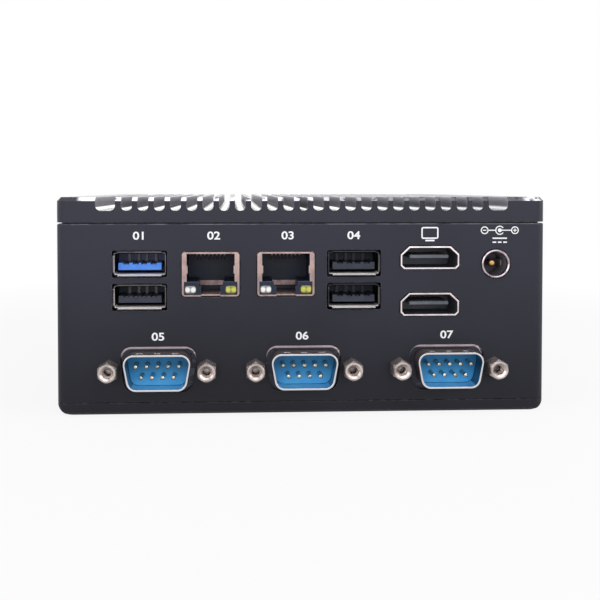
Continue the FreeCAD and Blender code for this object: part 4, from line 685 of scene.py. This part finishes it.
# %% [markdown]
# ## Signs on the panel
# Screen printing leaves a film of white ink a few hundredths of a millimetre thick. It could be
# painted in the case's shader, but a thin raised mesh stays sharp in any view and catches light at
# its rim. Numbers come from a text object, and the symbols from flat filled curves. Each becomes a
# plain mesh, stood up against the panel.

# %% White ink
INK_FILM = 0.03 * MM
DOT_SCALE = 5200.0
DOTS = (0.3, 0.7)
DOT_DEPTH = 4e-6
STAND_UP = Matrix.Rotation(math.pi / 2, 4, "X")
finish = Finish("white_ink")
dots = finish.noise(DOT_SCALE)
ink = finish.surface({
    "Base Color": finish.mix(finish.ramp(dots, *DOTS), tint(252, 252, 254), tint(234, 235, 240)),
    "Roughness": 0.5 + 0.2 * dots,
    "Normal": finish.bump(dots, DOT_DEPTH, 0.4),
})
print("ink film:", INK_FILM / MM, "mm on the panel at", round(PANEL_FACE / MM, 2))


# %% From flat shapes to printed pieces
def placed(name, data):
    """A new object in the scene."""
    thing = bpy.data.objects.new(name, data)
    scene.collection.objects.link(thing)
    return thing


def plain_mesh(holder):
    """What an object shows, as a mesh of its own. The object is removed."""
    bpy.context.view_layer.update()
    mesh = bpy.data.meshes.new_from_object(holder.evaluated_get(bpy.context.evaluated_depsgraph_get()))
    bpy.data.objects.remove(holder)
    return mesh


def print_piece(name, mesh, across, height):
    """Stands a flat mesh against the connector panel and lets it ride with the case."""
    mesh.transform(Matrix.Translation((across * MM, PANEL_FACE, height * MM)) @ STAND_UP)
    mesh.materials.clear()
    mesh.materials.append(ink)
    piece = placed(name, mesh)
    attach(piece, "case")
    print(f"{name}: {len(mesh.polygons)} faces")


# %% [markdown]
# Plain numbers stand over the ports, in white ink. Blender's own typeface is a little narrow, so every
# number is set as text, made a mesh, scaled to the height of a printed digit and widened by a fifth.

# %% Port numbers
DIGIT_HEIGHT = 2.1
WIDENED = 1.2
TYPE_DEPTH = 0.01
TYPE_WEIGHT = 0.02
TYPE_STEPS = 6
NUMBER_PLACES = {
    "01": (-42.2, 46.1),
    "02": (-23.2, 46.1),
    "03": (-4.1, 46.1),
    "04": (13.0, 46.1),
    "05": (-37.5, 20.1),
    "06": (-0.4, 20.1),
    "07": (37.4, 20.1),
}


def number_mesh(digits):
    words = bpy.data.curves.new("digits", "FONT")
    words.body = digits
    words.align_x = "CENTER"
    words.extrude = TYPE_DEPTH
    words.offset = TYPE_WEIGHT
    words.resolution_u = TYPE_STEPS
    mesh = plain_mesh(placed("holder", words))
    low = min(vertex.co.y for vertex in mesh.vertices)
    high = max(vertex.co.y for vertex in mesh.vertices)
    grow = DIGIT_HEIGHT * MM / (high - low)
    scale = Matrix.Diagonal((grow * WIDENED, grow, INK_FILM / TYPE_DEPTH, 1.0))
    mesh.transform(scale @ Matrix.Translation((0.0, -(low + high) / 2, 0.0)))
    return mesh


for digits, (across, height) in NUMBER_PLACES.items():
    print_piece(f"port_number_{digits}", number_mesh(digits), across, height)

# %% [markdown]
# The symbols are drawn as closed outlines in millimetres, and a filled curve turns them into a sheet.
# One outline inside another cuts a hole, so a ring is two circles. Small functions give the points of an
# arc, a circle, a bar, an open ring and a box with round corners.

# %% Filled outlines
def loops_mesh(loops):
    """A flat shape from closed outlines in millimetres: one inside another cuts a hole."""
    curve = bpy.data.curves.new("outline", "CURVE")
    curve.dimensions = "2D"
    curve.fill_mode = "BOTH"
    curve.extrude = INK_FILM
    for points in loops:
        spline = curve.splines.new("POLY")
        spline.points.add(len(points) - 1)
        for point, (across, up) in zip(spline.points, points):
            point.co = (across * MM, up * MM, 0.0, 1.0)
        spline.use_cyclic_u = True
    return plain_mesh(placed("holder", curve))


print("a sheet of ink is filled from closed outlines")


# %% Outlines
def arc(across, up, radius, turns):
    return [(across + radius * math.cos(turn), up + radius * math.sin(turn)) for turn in turns]


def ring(across, up, radius, count=40):
    return arc(across, up, radius, [2 * math.pi * step / count for step in range(count)])


def bar(across, up, width, height):
    half, rise = width / 2, height / 2
    return [(across - half, up - rise), (across + half, up - rise),
            (across + half, up + rise), (across - half, up + rise)]


def open_ring(across, up, radius, thick, start, end, count=24):
    turns = [math.radians(start + (end - start) * step / count) for step in range(count + 1)]
    outer = arc(across, up, radius + thick / 2, turns)
    return outer + arc(across, up, radius - thick / 2, reversed(turns))


def rounded_box(across, up, width, height, radius, count=6):
    points = []
    for corner, (sign_x, sign_y) in enumerate(((1, 1), (-1, 1), (-1, -1), (1, -1))):
        turns = [math.radians(90 * corner + 90 * step / count) for step in range(count + 1)]
        points += arc(across + sign_x * (width / 2 - radius), up + sign_y * (height / 2 - radius),
                      radius, turns)
    return points


print("outlines: a circle has", len(ring(0.0, 0.0, 1.0)), "points")

# %% [markdown]
# The symbols are the plain technical signs for a display and for a centre-positive direct-current
# plug: an outlined screen on its foot, a minus and a plus on a line through an open ring and a dot, and
# a line over three dashes.

# %% Display sign
LINE = 0.36
SCREEN_WIDTH, SCREEN_HEIGHT = 4.5, 3.1
SCREEN_RISE = 0.35
OUTER_CORNER, INNER_CORNER = 0.5, 0.2
FOOT = (0.0, -1.62, 2.4, 0.42)
DISPLAY_PLACE = (32.9, 46.3)
display = [
    rounded_box(0.0, SCREEN_RISE, SCREEN_WIDTH, SCREEN_HEIGHT, OUTER_CORNER),
    rounded_box(0.0, SCREEN_RISE, SCREEN_WIDTH - 2 * LINE, SCREEN_HEIGHT - 2 * LINE, INNER_CORNER),
    bar(*FOOT),
]
print_piece("display_sign", loops_mesh(display), *DISPLAY_PLACE)

# %% Polarity sign
REACH = 4.0
END_RING = 1.02
OPEN_RING = 1.06
OPEN_FROM, OPEN_TO = 35, 325
DOT = 0.52
DOT_EDGE = 0.5
THIN = 0.27
SIGN_LENGTH, SIGN_LINE = 0.9, 0.24
STROKE_RISE, STROKE_LENGTH = 0.29, 0.32
LINE_GAP = 0.04
POLARITY_PLACE = (51.3, 47.3)
polarity = [open_ring(0.0, 0.0, OPEN_RING, THIN, OPEN_FROM, OPEN_TO), ring(0.0, 0.0, DOT)]
for side in (-1, 1):
    polarity.append(ring(side * REACH, 0.0, END_RING))
    polarity.append(ring(side * REACH, 0.0, END_RING - THIN))
    polarity.append(bar(side * REACH, 0.0, SIGN_LENGTH, SIGN_LINE))
for rise in (-1, 1):
    polarity.append(bar(REACH, rise * STROKE_RISE, SIGN_LINE, STROKE_LENGTH))
for start, end in ((END_RING - REACH, -OPEN_RING - THIN / 2), (DOT_EDGE, REACH - END_RING)):
    polarity.append(bar((start + end) / 2, 0.0, end - start - LINE_GAP, THIN))
print_piece("polarity_sign", loops_mesh(polarity), *POLARITY_PLACE)

# %% Current sign
LONG_LINE = 3.8
DASH, DASH_STEP = 0.96, 1.42
LINE_RISE = 0.52
CURRENT_PLACE = (51.3, 44.7)
current = [bar(0.0, LINE_RISE, LONG_LINE, LINE)]
current += [bar(step * DASH_STEP, -LINE_RISE, DASH, LINE) for step in (-1, 0, 1)]
print_piece("current_sign", loops_mesh(current), *CURRENT_PLACE)

# %% [markdown]
# ## Threads
# Every jackscrew ends in a threaded hole for the plug's own screw, and the bracket nuts underneath are
# threaded as well. A thread is one profile swept along a helix and repeated at every hole, which is
# work for Geometry Nodes: a spiral curve, a three-sided profile, and one instance for each point of
# the mesh that carries the modifier. The tree ends in Realize Instances and Set Material, and the
# result is turned into a plain mesh.

# %% The thread tree
STEPS_PER_TURN = 18
PROFILE_SIDES = 3
THREAD_SOCKETS = {"Geometry": "Geometry", "Radius": "Float", "Pitch": "Float", "Turns": "Float",
                  "Depth": "Float", "Aim": "Rotation", "Finish": "Material"}
tree = bpy.data.node_groups.new("screw_thread", "GeometryNodeTree")
THREAD_INPUTS = {}
for word, kind in THREAD_SOCKETS.items():
    socket = tree.interface.new_socket(word, in_out="INPUT", socket_type=f"NodeSocket{kind}")
    THREAD_INPUTS[word] = socket.identifier
tree.interface.new_socket("Geometry", in_out="OUTPUT", socket_type="NodeSocketGeometry")
net = Net(tree)
given = net.outlets("NodeGroupInput")
helix = net.node("GeometryNodeCurveSpiral", sockets={
    "Resolution": STEPS_PER_TURN, "Rotations": given["Turns"], "Height": given["Pitch"] * given["Turns"],
    "Start Radius": given["Radius"], "End Radius": given["Radius"]})
profile = net.node("GeometryNodeCurvePrimitiveCircle", sockets={
    "Resolution": PROFILE_SIDES, "Radius": given["Depth"]})
ridge = net.node("GeometryNodeCurveToMesh", sockets={
    "Curve": helix, "Profile Curve": profile, "Fill Caps": True})
many = net.node("GeometryNodeInstanceOnPoints", sockets={
    "Points": given["Geometry"], "Instance": ridge, "Rotation": given["Aim"]})
solid = net.node("GeometryNodeRealizeInstances", sockets={"Geometry": many})
coated = net.node("GeometryNodeSetMaterial", sockets={"Geometry": solid, "Material": given["Finish"]})
net.node("NodeGroupOutput", sockets={"Geometry": coated})
print("thread tree:", len(tree.nodes), "nodes, inputs", list(THREAD_INPUTS))

# %% [markdown]
# One function puts the tree to work. It gives a point to every hole, sets the modifier's inputs, and
# keeps the mesh that comes out. An input is known to the modifier by its identifier, not by its name.

# %% Threads at a row of holes
RIDGE_SHARE = 0.42


def threads(name, spots, aim, size, material):
    """Sweeps one thread at every spot, and lets them all ride with the case."""
    points = bpy.data.meshes.new(name + "_spots")
    points.from_pydata(spots, [], [])
    carrier = placed(name + "_spots", points)
    modifier = carrier.modifiers.new("thread", "NODES")
    modifier.node_group = tree
    values = {**size, "Depth": RIDGE_SHARE * size["Pitch"], "Aim": aim, "Finish": material}
    for word, value in values.items():
        modifier[THREAD_INPUTS[word]] = value
    mesh = plain_mesh(carrier)
    piece = placed(name, mesh)
    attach(piece, "case")
    print(f"{name}: {len(spots)} holes, {len(mesh.polygons)} faces")


print("a ridge reaches", RIDGE_SHARE, "of the pitch from the middle of its profile")

# %% [markdown]
# A jackscrew takes a fine inch thread with 40 turns to the inch, and a bracket nut a metric one, 0.7 mm
# from ridge to ridge. Along the panel the holes follow the spacing of the ports. Their other measures
# come from the frame's boxes and from the record, so the ridges stay in their bores. The helix starts a
# little inside each mouth, where a real thread has its lead.

# %% Threads in the jackscrews
JACK_THREAD = {"Radius": 1.2 * MM, "Pitch": 0.635 * MM, "Turns": 5.0}
FIRST_TURN = 1.0 * MM
SCREW_REACH = 12.5 * MM
SCREW_PLACES = [port * PORT_PITCH + side * SCREW_REACH for port in (-1, 0, 1) for side in (-1, 1)]
rear_low, rear_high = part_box("rear_jackscrews")
SCREW_HEIGHT = (rear_low.z + rear_high.z) / 2
REAR_START = rear_low.y + FIRST_TURN
FRONT_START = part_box("front_jackscrews")[1].y - FIRST_TURN
threads("rear_jackscrew_threads", [(across, REAR_START, SCREW_HEIGHT) for across in SCREW_PLACES],
        (-math.pi / 2, 0.0, 0.0), JACK_THREAD, screw_plate)
threads("front_jackscrew_threads", [(across, FRONT_START, SCREW_HEIGHT) for across in SCREW_PLACES],
        (math.pi / 2, 0.0, 0.0), JACK_THREAD, screw_plate)

# %% Threads in the bracket nuts
NUT_PITCH = 0.7 * MM
NUT_LEAD = 0.4 * MM
nut_low, nut_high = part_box("bracket_nuts")
nut_turns = math.floor((nut_high.z - nut_low.z - 2 * NUT_LEAD) / NUT_PITCH)
NUT_THREAD = {"Radius": 1.6 * MM, "Pitch": NUT_PITCH, "Turns": nut_turns}
mounts = {mount["name"]: mount for mount in frame["record"]["mounts"]}
reach = mounts["bracket_holes"]["dims"]["spacing_x_mm"] * MM / 2
nut_spots = [(right * reach, back * reach, nut_low.z + NUT_LEAD) for right in (-1, 1) for back in (-1, 1)]
threads("bracket_nut_threads", nut_spots, (0.0, 0.0, 0.0), NUT_THREAD, brass_nut)

# %% [markdown]
# ## A white studio
# The floor and the background are white to the camera and to mirrors, but they throw only a plain
# amount of light on the case: if they shone as bright as they look, they would wash out the dark panel.
# Light Path tells the two kinds of ray apart. The floor keeps a soft shadow because part of what the
# camera sees of it is real, lit paint.

# %% Floor
WHITE = (1.0, 1.0, 1.0, 1.0)
HALF_FLOOR = 3.0
FLOOR_DROP = 1e-4
GLOWS = (0.012, 0.09, 0.88, 1.0)


def seen(net):
    """1 for a ray from the camera or a mirror, 0 for a ray that only carries light."""
    rays = net.outlets("ShaderNodeLightPath")
    direct = net.math("MAXIMUM", rays["Is Camera Ray"], rays["Is Glossy Ray"])
    return net.math("MAXIMUM", direct, rays["Is Transmission Ray"])


corners = [(right * HALF_FLOOR, back * HALF_FLOOR, -FLOOR_DROP)
           for right, back in ((-1, -1), (1, -1), (1, 1), (-1, 1))]
floor_mesh = bpy.data.meshes.new("floor")
floor_mesh.from_pydata(corners, [], [(0, 1, 2, 3)])
floor = placed("floor", floor_mesh)
finish = Finish("studio_floor")
across, along = finish.where("X"), finish.where("Y")
away = finish.ramp(across * across + along * along, *GLOWS)
paint = finish.node("ShaderNodeBsdfDiffuse", sockets={"Color": tint(214, 214, 214)})
glow = finish.node("ShaderNodeEmission", sockets={"Color": WHITE, "Strength": 1.0})
blend = finish.node("ShaderNodeMixShader", sockets={0: seen(finish) * away, 1: paint, 2: glow})
finish.node("ShaderNodeOutputMaterial", sockets={"Surface": blend})
floor_mesh.materials.append(finish.material)
print("floor:", 2 * HALF_FLOOR, "m wide")

# %% Surroundings
AIR_LIGHT = 0.14
world = bpy.data.worlds.new("studio")
scene.world = world
world.use_nodes = True
air = Net(world.node_tree)
strength = AIR_LIGHT + (1.0 - AIR_LIGHT) * seen(air)
background = air.node("ShaderNodeBackground", sockets={"Color": WHITE, "Strength": strength})
air.node("ShaderNodeOutputWorld", sockets={"Surface": background})
print("surroundings:", len(air.tree.nodes), "nodes, light", AIR_LIGHT)

# %% [markdown]
# ## Soft lamps
# A product photographer lights such a case with wide cloth boxes, because a small lamp would leave one
# hot spot on the satin panel. Area lamps do the same here. They are large for their distance, at a level
# at which a colour renders about as it is written: one overhead, two for the panel, one for each flank
# and one for the far side. They are hidden from the camera, so no lamp shows in a view from above.

# %% Soft lamps
def softbox(name, place, aim, size, power):
    lamp = bpy.data.lights.new(name, "AREA")
    lamp.shape = "RECTANGLE"
    lamp.size, lamp.size_y = size
    lamp.energy = power
    holder = placed(name, lamp)
    holder.location = place
    holder.rotation_euler = (Vector(aim) - Vector(place)).to_track_quat("-Z", "Y").to_euler()
    holder.visible_camera = False
    print(name, power, "W")


softbox("overhead", (0.0, 0.0, 0.80), (0.0, 0.0, 0.0), (0.9, 0.9), 3.0)
softbox("front_high", (0.02, -0.15, 0.23), (0.0, -0.06, 0.04), (0.40, 0.08), 0.16)
softbox("front_fill", (-0.02, -0.45, 0.14), (0.0, -0.067, 0.03), (0.8, 0.26), 0.92)
softbox("left_side", (-0.7, -0.25, 0.30), (0.0, 0.0, 0.03), (0.5, 0.5), 1.6)
softbox("right_side", (0.7, -0.25, 0.30), (0.0, 0.0, 0.03), (0.5, 0.5), 2.6)
softbox("back_fill", (0.0, 0.50, 0.26), (0.0, 0.067, 0.03), (0.8, 0.4), 1.2)

# %% [markdown]
# ## The camera
# The picture is taken at the connector panel from just above the lid, so that the lid's top is a
# sliver, and from a little left of the middle. Turning the camera all the way to the middle of the case
# would make its panel taper, so the camera turns by less than three degrees, and a small shift of the
# lens does the rest, the way a technical camera does it.

# %% Camera
DISTANCE = 220.0
EYE_ACROSS, EYE_HEIGHT = -18.0, 58.0
TILT_DOWN, TURN = 1.5, -2.616
lens = bpy.data.cameras.new("camera")
lens.lens = 51.30
lens.sensor_width = 36.0
lens.shift_x = 0.045
lens.shift_y = -0.1473
lens.clip_start = 0.005
camera = placed("camera", lens)
camera.location = (EYE_ACROSS * MM, PANEL_FACE - DISTANCE * MM, EYE_HEIGHT * MM)
camera.rotation_euler = (math.radians(90.0 - TILT_DOWN), 0.0, math.radians(TURN))
scene.camera = camera
scene.view_settings.view_transform = "Standard"
print("camera:", round(lens.lens, 1), "mm lens,", DISTANCE, "mm from the panel")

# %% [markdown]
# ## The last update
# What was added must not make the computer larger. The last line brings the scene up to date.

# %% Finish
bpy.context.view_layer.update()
